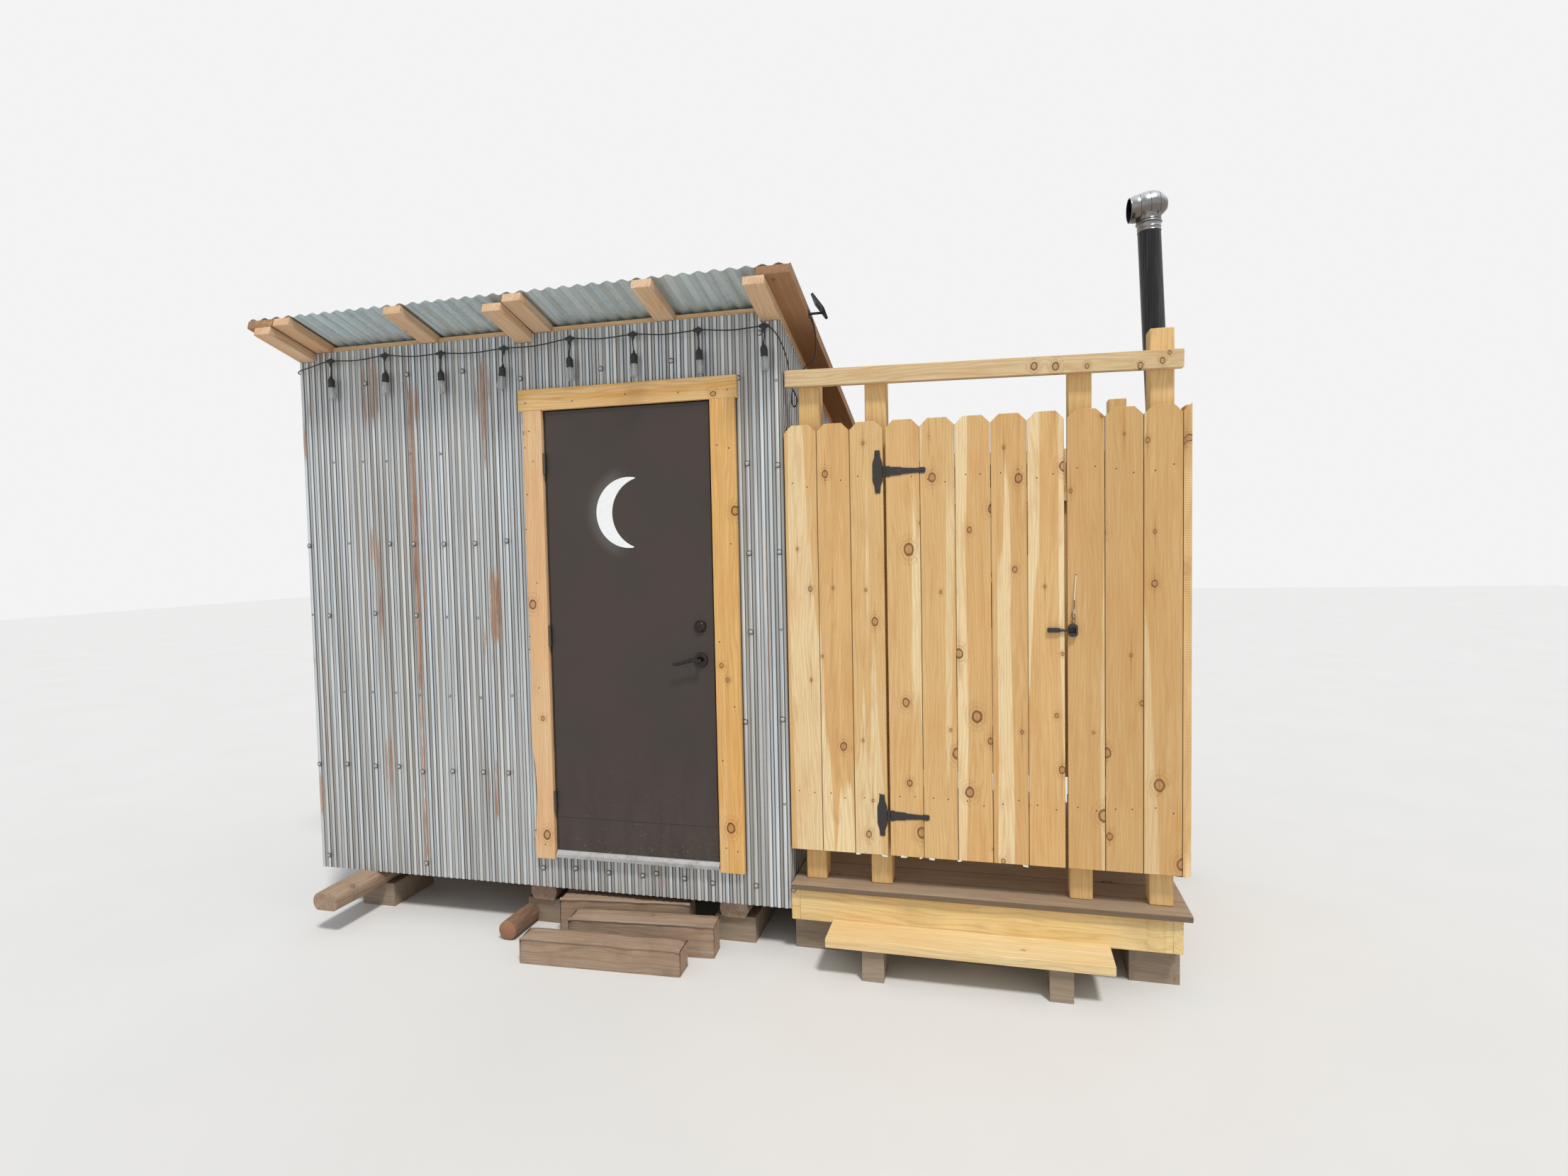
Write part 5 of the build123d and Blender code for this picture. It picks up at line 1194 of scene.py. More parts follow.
look.finish(Base_Color=look.mix(look.stored("tone", 2).step(0.4, 0.6), brass, white), Roughness=0.35,
            Normal=look.bump(glow, 0.05, 0.0003))
stems.piece("bulb_stems", look.material, slot="bulb_glass", angle=40)

# %% [markdown]
# The lights' small solar panel stands on an arm at the right gable board: a dark frame, a glass
# face with thin silver lines over the cells, and a clamp with its bolt on the board's edge.

# %% Solar panel
clamp = ROOF_PLACE @ Matrix.Translation(Vector((BOARD_EDGE, 90.0, TIMBER / 2)) / 1000)
frame_parts = Shape()


def box_in(shape, place, low, high, edge=0.8):
    """A small box with eased edges in a place's own axes."""
    (x0, y0, z0), (x1, y1, z1) = low, high
    shape.loft([[put(place, x, y, z) for x, y in eased(x0 + pull, x1 - pull, y0 + pull, y1 - pull, edge)]
                for z, pull in ((z0, edge), (z0 + edge, 0.0), (z1 - edge, 0.0), (z1, edge))])


box_in(frame_parts, clamp, (0.3, -15.0, -13.0), (3.9, 15.0, 13.0), 0.7)
box_in(frame_parts, clamp, (3.4, -4.8, -3.9), (60.0, 4.8, 3.9), 0.8)
turned(frame_parts, clamp @ Matrix.Translation((0.0039, 0.0095, 0)) @ Matrix.Rotation(math.pi / 2, 4, "Y"),
       ((3.6, 0), (3.6, 2.2), (2.6, 2.8)), steps=6)
head = clamp @ Matrix.Translation((0.06, 0, 0)) @ Matrix.Rotation(math.radians(55.0), 4, "Y") \
    @ Matrix.Translation((-0.036, 0, 0))
box_in(frame_parts, head, (-45.8, -45.8, 0.0), (45.8, 45.8, 9.6), 1.6)
box_in(frame_parts, head, (-14.0, -14.0, -3.5), (14.0, 14.0, 0.6), 1.0)
for middle in (-43.4, 43.4):
    box_in(frame_parts, head, (-45.8, middle - 2.4, 9.2), (45.8, middle + 2.4, 11.8), 0.6)
    box_in(frame_parts, head, (middle - 2.4, -41.2, 9.2), (middle + 2.4, 41.2, 11.8), 0.6)
frame_parts.piece("solar_frame", RUBBER, nodes=["solar_panel"], slot="solar", angle=30)
cells = Shape()
HALF_FACE = 41.0
step = HALF_FACE / 4
for i in range(8):
    for j in range(2):
        x, y = -HALF_FACE + i * step, (j - 1) * HALF_FACE
        cell_top = 10.6 + 0.05 * ((i + j) % 2)
        box_in(cells, head, (x + 0.4, y + 0.4, 9.0), (x + step - 0.4, y + HALF_FACE - 0.4, cell_top), 0.2)
look = Look("solar_cells")
spot = look.place()
fingers = (look.parts(look.scaled(spot, (1.0, 5200.0, 1.0)))[1].sine() - 0.86).clipped() * 3.0
crystal = look.clouds(spot, 140.0, 2.0, 0.5)
blue = look.mix(crystal, (0.010, 0.014, 0.034), (0.020, 0.026, 0.060))
look.finish(Base_Color=look.mix(fingers.clipped() * 0.5, blue, (0.30, 0.32, 0.34)),
            Roughness=(0.14 + crystal * 0.1).clipped())
cells.piece("solar_cells", look.material, slot="solar", angle=25)

# %% [markdown]
# Beside the shed stands a deck with posts, a top rail, and fences of dog-ear cedar pickets. The
# boards aren't all alike: each has its own tone and is a hair narrower or wider than the next.

# %% Deck
DECK_TOP, DECK_LEFT, DECK_RIGHT = 322.0, SHED_W + 4.0, SHED_W + 1607.0
PLANK, PLANK_STEP, PLANK_THICK = 138.0, 142.0, 24.7
deck = Shape()
for i in range(10):
    y = -25.0 + i * PLANK_STEP
    far_end = DECK_RIGHT - pick.uniform(0.0, 2.5)
    beam(deck, (DECK_LEFT, y, DECK_TOP - PLANK_THICK), (far_end, y + PLANK, DECK_TOP), "x", seed=100 + i,
         tone=pick.uniform(0.1, 0.9), edge=2.6, joints=True)
deck.piece("deck_planks", DECK_WOOD, nodes=["deck_boards"], slot="deck_timber")
under = Shape()
low, high, rim_left, rim_right, rim_back = 157.0, 296.9, SHED_W + 0.3, DECK_RIGHT - 31.0, 1370.0
pitch = (rim_right - rim_left - TIMBER) / 4
for i in range(5):
    x = rim_left + i * pitch
    inset = 0.0 if i in (0, 4) else TIMBER + SEAT
    beam(under, (x, inset, low), (x + TIMBER, rim_back - inset, high), "y", seed=120 + i, tone=0.4, edge=1.8)
for k, y in enumerate((0.0, rim_back - TIMBER)):
    beam(under, (rim_left + TIMBER + SEAT, y, low), (rim_right - TIMBER - SEAT, y + TIMBER, high), "x", seed=130 + k,
         edge=1.8)
under.piece("deck_rim_and_joists", RIM_WOOD, nodes=["deck_frame"], slot="deck_timber")

# %% Posts and top rail
POST, POST_FRONT, POST_BACK = 89.0, 58.0, 1250.0
RAIL_FRONT = POST_FRONT - TIMBER
POST_LEFTS = [SHED_W + offset for offset in (58.0, 345.0, 1159.0, 1461.0)]
posts = Shape()
places = [(x, POST_FRONT, top) for x, top in zip(POST_LEFTS, (2490.0, 2490.0, 2490.0, 2599.0))]
places += [(POST_LEFTS[0], POST_BACK, 2350.0), (POST_LEFTS[3], POST_BACK, 2531.0)]
for i, (x, y, top) in enumerate(places):
    beam(posts, (x, y, DECK_TOP + 0.1), (x + POST, y + POST, top), seed=140 + i, tone=pick.uniform(0.3, 0.7),
         edge=3.5)
posts.piece("posts", POST_WOOD, nodes=["posts"], slot="framing_timber")
rail = Shape()
tilt, rail_length = math.radians(1.03), 1570.0
rail_start = at(SHED_W + 8.0, RAIL_FRONT, 2506.0 + math.sin(tilt) * rail_length)
turn = Matrix(((0, 0, 1, 0), (1, 0, 0, 0), (0, 1, 0, -0.07), (0, 0, 0, 1)))
rail_place = Matrix.Translation(rail_start) @ Matrix.Rotation(tilt, 4, "Y") @ turn
board(rail, rail_place, TIMBER, 70.0, rail_length, edge=2.0,
      seed=151, tone=0.45, roughness=0.4, step=60.0)
rail.piece("top_rail", RAIL_WOOD, nodes=["top_rail"], slot="framing_timber")

# %% [markdown]
# One function makes a row of pickets along a line, with two nails per rail in each board. Where the
# run isn't a whole number of boards, the last one is ripped to a strip.

# %% Fences
PICKET, PICKET_GAP, PICKET_T, PICKET_L, PICKET_FOOT = 139.7, 1.3, 16.0, 1829.0, 468.0
PITCH_X = PICKET + PICKET_GAP
EAR = 32.0
FENCE_LEFT, FENCE_Y = SHED_W + 4.0, RAIL_FRONT - PICKET_T
three_boards = 3 * PITCH_X - PICKET_GAP
LEFT_END = FENCE_LEFT + three_boards
GATE_LEFT = LEFT_END + 10.0
GATE_RIGHT = GATE_LEFT + 5 * PITCH_X - PICKET_GAP
RIGHT_LEFT = GATE_RIGHT + 10.0
SIDE_RAIL_X = POST_LEFTS[3] + POST
SIDE_PICKET_X = SIDE_RAIL_X + TIMBER
SIDE_FACE_X = SIDE_PICKET_X + PICKET_T
BACK_RAIL_Y = POST_BACK + POST
RAIL_LEVELS = (PICKET_FOOT + 200.0, PICKET_FOOT + 1540.0)
nails, gate_nails = Shape(), Shape()


def picket_line(shape, nails, start, along, run, seed, tones):
    """A row of pickets with nails at both rails; what is left of the run is a ripped strip."""
    direction = Vector(along)
    out = Vector(UP).cross(direction) * -1.0
    count = math.floor((run + PICKET_GAP + 0.01) / PITCH_X)
    strip = run - count * PITCH_X
    for i, width in enumerate([PICKET] * count + [strip] * (strip > 4.0)):
        origin = Vector(start) + direction * (i * PITCH_X)
        slim = 0.25 + 0.45 * random.Random(seed + i).random()
        place = axes(origin, along) @ Matrix.Translation((slim / 1000, 0, 0))
        board(shape, place, width - 2 * slim, PICKET_T, PICKET_L, ear=min(EAR, width * 0.45), edge=1.5, seed=seed + i,
              tone=tones[i % len(tones)], step=230.0, joints=True)
        for level in RAIL_LEVELS:
            for share in ((0.27, 0.73) if width > 80 else (0.5,)):
                spot = origin + direction * (width * share + pick.uniform(-6, 6))
                nail(nails, spot.x, spot.y, level + pick.uniform(26, 66), outward=out, size=2.9)


def fence_rails(shape, low, high, along, seed):
    """The two rails of a fence, between two corners in X and Y."""
    for k, level in enumerate(RAIL_LEVELS):
        beam(shape, (*low, level), (*high, level + RAFTER), along, seed=seed + k, edge=2.0)


def fence(name, node, start, along, run, seed, tones, rail_low, rail_high, rail_seed):
    shape = Shape()
    picket_line(shape, nails, (*start, PICKET_FOOT), along, run, seed, tones)
    fence_rails(shape, rail_low, rail_high, "y" if along == BACK else "x", rail_seed)
    shape.piece(name, CEDAR, nodes=[node], slot="cedar")


fence("fence_beside_shed", "fence_left", (FENCE_LEFT, FENCE_Y), RIGHT, three_boards, 160, (0.75, 0.25, 0.95),
      (FENCE_LEFT, RAIL_FRONT), (LEFT_END, POST_FRONT), 170)
fence("fence_beside_gate", "fence_right", (RIGHT_LEFT, FENCE_Y), RIGHT, three_boards, 180, (-0.30, -0.45, -0.35),
      (RIGHT_LEFT, RAIL_FRONT), (SIDE_RAIL_X, POST_FRONT), 190)
corner = Shape()
place = axes((RIGHT_LEFT + 3 * PITCH_X, FENCE_Y, PICKET_FOOT))
strip_w, count = 29.0, 8
rings, grain = [], []
for i in range(count + 1):
    z = PICKET_L * i / count
    rings.append([put(place, x, y, z - (strip_w if x < 1.0 and i == count else 0.0))
                  for x, y in ((0.6, 0.0), (29.0, 0.0), (30.0, 1.0), (30.0, 15.0), (29.0, 16.0), (0.6, 16.0))])
    grain += [Vector((7.02 + 0.005 * k, 3.0, 2.0 + z / 1000)) for k in range(6)]
corner.loft(rings, grain=grain, tone=0.7)
corner.piece("fence_corner_strip", CEDAR, nodes=["fence_corner_strip"], slot="cedar")
side_start = RAIL_FRONT + 0.3
fence("fence_right_side", "fence_side", (SIDE_FACE_X, side_start), BACK, BACK_RAIL_Y + TIMBER - side_start, 200,
      (0.5, 0.3, 0.7, 0.4, 0.6), (SIDE_RAIL_X, POST_FRONT), (SIDE_PICKET_X, BACK_RAIL_Y), 220)
fence("fence_back", "fence_back", (SIDE_PICKET_X, BACK_RAIL_Y + TIMBER + PICKET_T), (-1, 0, 0),
      SIDE_PICKET_X - FENCE_LEFT, 240, (0.4, 0.65, 0.3, 0.55), (FENCE_LEFT, BACK_RAIL_Y),
      (SIDE_PICKET_X, BACK_RAIL_Y + TIMBER), 260)

# %% Gate
gate = Shape()
picket_line(gate, gate_nails, (GATE_LEFT, FENCE_Y, PICKET_FOOT), RIGHT, 5 * PITCH_X - PICKET_GAP, 280,
            (0.55, 0.85, 0.25, 0.05, 0.35))
left, right = GATE_LEFT + 5.0, GATE_RIGHT - 5.0
fence_rails(gate, (left, RAIL_FRONT), (right, POST_FRONT), "x", 290)
foot, top = RAIL_LEVELS[0] + RAFTER, RAIL_LEVELS[1]
rings, grain = [], []
for i in range(9):
    t = i / 8
    x = left + (right - RAFTER - left) * t
    ring = eased(x, x + RAFTER, RAIL_FRONT, POST_FRONT, 1.5)
    rings.append([at(px, py, foot + (top - foot) * t) for px, py in ring])
    grain += [Vector(((px - x) / 1000 + 11, py / 1000 + 5, t * 1.4 + 2)) for px, py in ring]
gate.loft(rings, grain=grain, tone=0.5)
gate.piece("gate_leaf", CEDAR, body="gate", nodes=["gate"], slot="cedar")
nails.piece("fence_nails", NAIL_METAL, slot="hinge_steel")
gate_nails.piece("gate_nails", NAIL_METAL, body="gate", slot="hinge_steel")

# %% [markdown]
# Black T hinges carry the gate: a fixed plate with its outer knuckles, a tapered strap with the
# middle one, and round-headed screws. On the other side a spring latch catches a bar. Two rings and
# a pale coated wire hang the latch from a hole in the board.

# %% Gate irons
look = Look("black_iron")
spot = look.place()
paint = look.clouds(spot, 210.0, 4.0, 0.65)
chips = look.clouds(spot, 48.0, 5.0, 0.7).step(0.64, 0.68)
black = look.mix(paint, (0.024, 0.022, 0.021), (0.052, 0.048, 0.045))
look.finish(Base_Color=look.mix(chips * 0.7, black, (0.16, 0.10, 0.07)), Metallic=0.25,
            Roughness=(0.38 + paint * 0.25).clipped(), Normal=look.bump(paint, 0.25, 0.0005))
IRON = look.material
PIN_X, PIN_Y = GATE_LEFT - 5.0, FENCE_Y - 6.0 - 0.3
STRAP_Z = (PICKET_FOOT + 172.0, PICKET_FOOT + 1618.0)


def flat_iron(shape, outline, thick=2.9, edge=0.7):
    """A flat plate against the fence's face. The outline is in X and Z."""
    plate(shape, axes((0, FENCE_Y - 0.1 - thick, 0)), outline, thick, edge=edge)


def screw_head(shape, x, z, y=FENCE_Y - 3.0, size=4.6):
    profile = ((size, -0.3), (size * 0.95, 0.7), (size * 0.7, 1.5), (size * 0.3, 1.9))
    turned(shape, facing((x, y, z)), profile, steps=12)


def on_pin(shape, low, profile, steps):
    turned(shape, facing((PIN_X, PIN_Y, low), UP, up=BACK), profile, steps=steps)


def barrel(shape, low, high):
    on_pin(shape, low, ((5.4, 0.0), (5.9, 0.5), (5.9, high - low - 0.5), (5.4, high - low)), 18)


KNUCKLE = 15.0
PLATE_SIDE = ((-89, 9), (-84, 11), (-60, 13), (-42, 19), (-34, 21))
STRAP_SIDE = ((0, 22.4), (16, 22.0), (20, 18.5), (62, 16.5), (66, 13.5), (112, 10.5), (134, 9.5), (138, 12.0),
              (158, 12.0), (162, 9.0), (163.5, 4.0))
plates, straps = Shape(), Shape()
for z in STRAP_Z:
    right, middle = PIN_X - 7.0, PIN_X - 28.0
    boat = [(middle + wide, z + dz) for dz, wide in PLATE_SIDE]
    boat += [(middle + wide, z - dz) for dz, wide in PLATE_SIDE[::-1]]
    flat_iron(plates, boat + [(2 * middle - x, 2 * z - height) for x, height in boat])
    for dx, dz in ((0, -74), (0, 74), (-10, -26), (-10, 26)):
        screw_head(plates, middle + dx, z + dz)
    for knuckle in (z - KNUCKLE - 0.3, z + KNUCKLE + 0.3):
        low, high = knuckle - KNUCKLE / 2, knuckle + KNUCKLE / 2
        barrel(plates, low, high)
        flat_iron(plates, oblong(right - 1, PIN_X, low, high), edge=0.3)
    on_pin(plates, z - 23.0, ((2.9, 0.6), (2.9, 45.2)), 10)
    barrel(straps, z - KNUCKLE / 2 + 0.2, z + KNUCKLE / 2 - 0.2)
    start = GATE_LEFT + 1.0
    flat_iron(straps, [(start + dx, z - dz) for dx, dz in STRAP_SIDE]
              + [(start + dx, z + dz) for dx, dz in STRAP_SIDE[::-1]])
    flat_iron(straps, oblong(PIN_X, start + 2, z - 7.3, z + 7.3), edge=0.3)
    for dx in (40, 88, 148):
        screw_head(straps, start + dx, z)
LATCH_Z = PICKET_FOOT + 962.0
bar_left = GATE_RIGHT - 66.0
bar = ((0, -7), (3, -9.5), (48, -8.5), (48, 8.5), (3, 9.5), (0, 7))
plate(straps, axes((bar_left, FENCE_Y - 13.0, LATCH_Z)), bar, 12.9, edge=1.2)
for dx in (9, 34):
    screw_head(straps, bar_left + dx, LATCH_Z, y=FENCE_Y - 12.9, size=3.4)
turned(straps, facing((bar_left + 46.0, FENCE_Y - 8.0, LATCH_Z), RIGHT),
       ((4.8, 0), (4.8, 28.0), (4.2, 29.4), (3.0, 30.0)), steps=14)
plates.piece("hinge_plates", IRON, nodes=["gate_plates"], slot="black_iron", angle=30)
straps.piece("hinge_straps_and_bar", IRON, body="gate", nodes=["gate_straps"], slot="black_iron", angle=30)
latch = Shape()
LATCH_X, WIRE_TOP = RIGHT_LEFT + 2.0, PICKET_FOOT + 1180.0
JAW = ((0, 10.4), (28, 10.4), (35.8, 10.4), (35.8, 16), (32, 21.5), (25, 24.5), (9, 24.5), (3, 21), (0, 15))
latch_face = axes((LATCH_X, FENCE_Y - 20.0, LATCH_Z))
for side in (-1, 1):
    plate(latch, latch_face, [(dx, side * dz) for dx, dz in JAW[::side]], 19.9, edge=1.4)
    screw_head(latch, LATCH_X + 18, LATCH_Z + side * 17, y=FENCE_Y - 19.8, size=4.0)
plate(latch, latch_face, oblong(28.4, 35.6, -12, 12), 19.9, edge=0.8)
flat_iron(latch, oblong(LATCH_X, LATCH_X + 30, LATCH_Z - 12, LATCH_Z + 12), thick=2.4)
for middle, lean in ((LATCH_Z + 35.0, 1.2), (LATCH_Z + 57.0, -3.0)):
    ring = [at(LATCH_X + 20.0 + 5.5 * math.sin(a) + lean * math.cos(a), FENCE_Y - 8.0, middle + 12.0 * math.cos(a))
            for a in around(20) + [0.0]]
    rod(latch, ring, 1.3, sides=6)
latch.piece("spring_latch", IRON, nodes=["gate_latch"], slot="black_iron", angle=30)
wire = Shape()
way = [at(LATCH_X + 22.0 + dx, FENCE_Y - dy, z) for dx, dy, z in
       ((-1.0, 8.0, LATCH_Z + 66), (0.0, 8.0, LATCH_Z + 84), (1.2, 8.4, LATCH_Z + 120), (4.2, 8.2, LATCH_Z + 160),
        (7.0, 7.6, WIRE_TOP - 18), (8.0, 5.6, WIRE_TOP - 7), (8.4, 3.0, WIRE_TOP - 1.5), (8.6, 0.4, WIRE_TOP))]
rod(wire, way[:2], 3.3, sides=10, tone=0.6)
rod(wire, way[1:3], 1.9, tone=0.1)
rod(wire, way[2:], 2.2, tone=1.0)
turned(wire, facing((LATCH_X + 30.6, FENCE_Y - 0.05, WIRE_TOP)), ((4.6, 0.0), (4.4, 0.25)), steps=14, tone=0.0)
look = Look("latch_wire")
worn = look.clouds(look.place(), 160.0, 3.0, 0.6)
bare = look.mix(worn, (0.030, 0.026, 0.022), (0.060, 0.050, 0.042))
coated = look.mix(worn, (0.80, 0.80, 0.74), (0.62, 0.61, 0.55))
look.finish(Base_Color=look.mix(look.stored("tone", 2).step(0.2, 0.9), bare, coated),
            Roughness=(0.35 + worn * 0.2).clipped(), Normal=look.bump(worn, 0.1, 0.0004))
wire.piece("latch_wire", look.material, slot="bright_steel", angle=40)

# %% [markdown]
# The mill's paper tags were torn off the pickets' lower ends, but their staples kept small white scraps.

# %% Paper scraps
tags, gate_tags = Shape(), Shape()
for x, wide, turn in ((2757, 22, 4), (2868, 26, -3), (2948, 28, 2), (3026, 12, 8), (3066, 24, -2), (3183, 18, 5),
                      (3444, 22, -4)):
    place = axes((x, FENCE_Y - 0.7, PICKET_FOOT - 6.5), (1, 0.03 * turn, 0.02 * turn), (0.02 * turn, 0, 1))
    outline = ((0, 1.5), (wide * 0.6, 0), (wide, 2.0), (wide - 1.5, 9.5), (wide * 0.4, 8.2), (1.0, 9.0))
    plate(gate_tags if x > GATE_LEFT else tags, place, outline, 0.45, edge=0.1)
paper = painted("tag_paper", (0.86, 0.86, 0.85), (0.66, 0.65, 0.62), 90.0, 4.0, window=(0.4, 0.8), rough=0.8,
                bump=None)
tags.piece("paper_scraps", paper, slot="cedar")
gate_tags.piece("gate_paper_scraps", paper, body="gate", slot="cedar")

# %% [markdown]
# Old landscape timbers serve as skids and steps, with worn corners and rough faces. The round log
# that lies by them shows its rings and the cracks that start from the heart.

# %% Skids, steps and log
def round_sided(shape, x, y0, y1, foot, wide, high, crown, seed):
    """A timber flat on top and below and rounded at its sides, running from front to back."""
    rings, grain = [], []
    shift = Vector((seed * 1.7, seed * 2.3, seed * 0.9))
    count = 16
    cx, cz = wide / 2, high / 2
    radius = (crown ** 2 + cz ** 2) / (2 * crown)
    sweep = math.asin(cz / radius)
    outline = []
    for side in (1, -1):
        for i in range(9):
            a = sweep * (i / 4 - 1)
            outline.append((side * (cx - radius + radius * math.cos(a)), side * radius * math.sin(a)))
    for i in range(count + 1):
        y = y0 + 1.5 + (y1 - y0 - 3.0) * i / count
        pull = 2.0 if i in (0, count) else 0.0
        ring = []
        for px, pz in outline:
            wear = 1.2 * noise.noise(Vector(((cx + px) / 18, (cz + pz) / 18, y / 60 + seed)))
            k = 1.0 - (pull + max(wear, 0.0)) / 60.0
            ring.append(at(x + cx + px * k, y, foot + cz + pz * k))
            grain.append(Vector(((cx + px) / 1000, (cz + pz) / 1000, y / 1000)) + shift)
        rings.append(ring)
    shape.loft(rings, grain=grain, tone=0.5)


STEP_DEEP = 108.0


def worn_step(shape, left, front_y, degrees, length, high, seed, tone):
    """A squared timber with rough faces and worn upper corners."""
    place = Matrix.Translation(at(left, front_y, 0)) @ Matrix.Rotation(math.radians(degrees), 4, "Z")
    rings, grain = [], []
    count = 22
    shift = Vector((seed * 5.0 + 3.0, 1.0, 2.0))
    for k in range(count + 1):
        x = length * k / count
        pull = 1.5 if k in (0, count) else 0.0
        worn = 6.0 + 5.0 * max(0.0, noise.noise(Vector((x / 110, seed * 4.0, 0.0)))) + 2.0 * pull
        ring = []
        for py, pz, sy, sz in ((0, 0, -1, -1), (STEP_DEEP, 0, 1, -1), (STEP_DEEP, high, 1, 1), (0, high, -1, 1)):
            cut = worn if pz else 3.0
            corner = ((py - sy * cut, pz), (py - sy * cut * 0.3, pz - sz * cut * 0.3), (py, pz - sz * cut))
            for qy, qz in corner if sy == sz else corner[::-1]:
                rough = 0.9 * noise.noise(Vector((x / 14, qy / 10 + seed * 9, qz / 10)))
                y, z = min(max(qy + rough, 0.0), STEP_DEEP), min(max(qz + rough, 0.0), high)
                ring.append(put(place, x, y + (pull if y < STEP_DEEP / 2 else -pull), z - (pull if z > 50 else 0)))
                grain.append(Vector((qy, qz, x)) / 1000 + shift)
        rings.append(ring)
    shape.loft(rings, grain=grain, tone=tone)


skid_shape = Shape()
for i, (left, front_end) in enumerate(((210.0, -285.0), (1165.0, 40.0), (2120.0, 40.0))):
    round_sided(skid_shape, left, front_end, SHED_D, 117.0, 140.0, 83.0, 22.0, 300 + i)
skid_shape.piece("skid_timbers", OLD_WOOD, nodes=["skids"], slot="weathered_timber", angle=40)

steps = Shape()
worn_step(steps, 1375.0, -60.0, 6.0, 620.0, 180.0, 0, 0.35)
worn_step(steps, 1480.0, -175.0, 5.0, 670.0, 145.0, 1, 0.55)
worn_step(steps, 1330.0, -330.0, 2.5, 730.0, 115.0, 2, 0.75)
steps.piece("step_timbers", OLD_WOOD, nodes=["step_timbers"], slot="weathered_timber", angle=40)
plank = Shape()
plank_left = SHED_W + 183.0
beam(plank, (plank_left, -184.3, 134.3), (plank_left + 1122.0, -SEAT, 172.0), "x", seed=321, tone=0.6, edge=2.4)
plank.piece("step_plank", STEP_WOOD, nodes=["step_board"], slot="framing_timber")

LOG_X, LOG_Z = 1155.0, 45.0
log = Shape()
turned(log, facing((LOG_X, 50.0, LOG_Z)), ((41.5, 0.4), (44.4, 2.5), (44.9, 40.0), (44.3, 100.0), (44.8, 160.0),
                                           (44.2, 197.0), (41.8, 199.6)), steps=40)
look = Look("log_wood")
x, y, z = look.away_from(LOG_X, -50.0, LOG_Z)
radial = (x * x + z * z) ** 0.5
spin = look.node("ShaderNodeMath", {"operation": "ARCTAN2"}, {0: z, 1: x})
wander = look.clouds(look.place(), 30.0, 3.0, 0.6)
rings_seen = (radial * 1500.0 + wander * 9.0).sine() * 0.5 + 0.5
crack = look.clouds(look.joined(spin * 3.2, 0.4, 0.2), 1.6, 5.0, 0.7).step(0.60, 0.66) * radial.step(0.006, 0.02)
fibres = look.drawn_out(look.place(), (90.0, 6.0, 90.0), 4.0, 0.65)
end_face = look.node("ShaderNodeMath", {"operation": "GREATER_THAN"}, {0: y.size(), 1: 0.0985})
side_tone = look.mix(fibres.step(0.35, 0.7), (0.27, 0.155, 0.095), (0.12, 0.07, 0.045))
end_tone = look.mix(rings_seen * 0.5, (0.36, 0.18, 0.09), (0.20, 0.09, 0.045))
end_tone = look.mix(crack * 0.9, end_tone, (0.03, 0.018, 0.012))
look.finish(Base_Color=look.mix(end_face, side_tone, end_tone), Roughness=0.85,
            Normal=look.bump(fibres * 0.5 + rings_seen * 0.2 - crack, 0.5, 0.002))
log.piece("round_log", look.material, nodes=["chock"], slot="weathered_timber", angle=50)

# %% [markdown]
# The vent pipe is black plastic with a soft gloss and long lighter streaks. It leans a little, so one
# place is made for it and all its parts use that place.

# %% Vent pipe
LEAN = math.radians(2.5)
PIPE_X, PIPE_Y, PIPE_TOP = SIDE_FACE_X + 210.0, 1290.0, 3434.0
PIPE_OUT, PIPE_IN = 57.0, 54.0
PIPE = Matrix.Translation(at(PIPE_X, PIPE_Y, 0)) @ Matrix.Rotation(-LEAN, 4, "Y")
pipe = Shape()
levels = [PIPE_TOP * i / 12 for i in range(12)] + [PIPE_TOP - 1.0, PIPE_TOP]


def pipe_ring(radius, level):
    """A ring of the pipe; the lowest one is cut level with the ground."""
    ring = [put(PIPE, radius * math.cos(a), radius * math.sin(a), level) for a in around(48)]
    if level == 0.0:
        ring = [point - PIPE.to_3x3() @ Vector((0, 0, point.z / math.cos(LEAN))) for point in ring]
    return ring


rings = [pipe_ring(PIPE_OUT - (0.6 if level == PIPE_TOP else 0.0), level) for level in levels]
rings += [pipe_ring(PIPE_IN, level) for level in levels[::-1]]
pipe.loft(rings + rings[:1], caps=False)
look = Look("black_pipe")
spot = look.place()
long_streaks = look.drawn_out(spot, (150.0, 150.0, 0.8), 3.0, 0.6)
dust = look.drawn_out(spot, (12.0, 12.0, 2.5), 5.0, 0.65)
# The lighter streaks run along the pipe and also change its roughness and surface.
colour = look.mix(long_streaks.step(0.48, 0.62), (0.006, 0.0065, 0.008), (0.036, 0.036, 0.038))
colour = look.mix(dust.step(0.55, 0.80) * 0.22, colour, (0.10, 0.095, 0.085))
look.finish(Base_Color=colour, Roughness=(0.28 + long_streaks * 0.12 + dust * 0.12).clipped(),
            Normal=look.bump(long_streaks, 0.12, 0.0008), Specular_IOR_Level=0.3, Coat_Weight=0.08, Coat_Roughness=0.15)
pipe.piece("vent_pipe", look.material, nodes=["vent_pipe"], slot="black_pipe", angle=30)

# %% [markdown]
# The collar and the cowl are bright stainless steel. The cowl is a round hood of four bulging rings
# with raised seams, which droops a little to its open left end, on a neck with a crown of bent tabs.
# Its place has the same lean, and a small turn about the pipe.

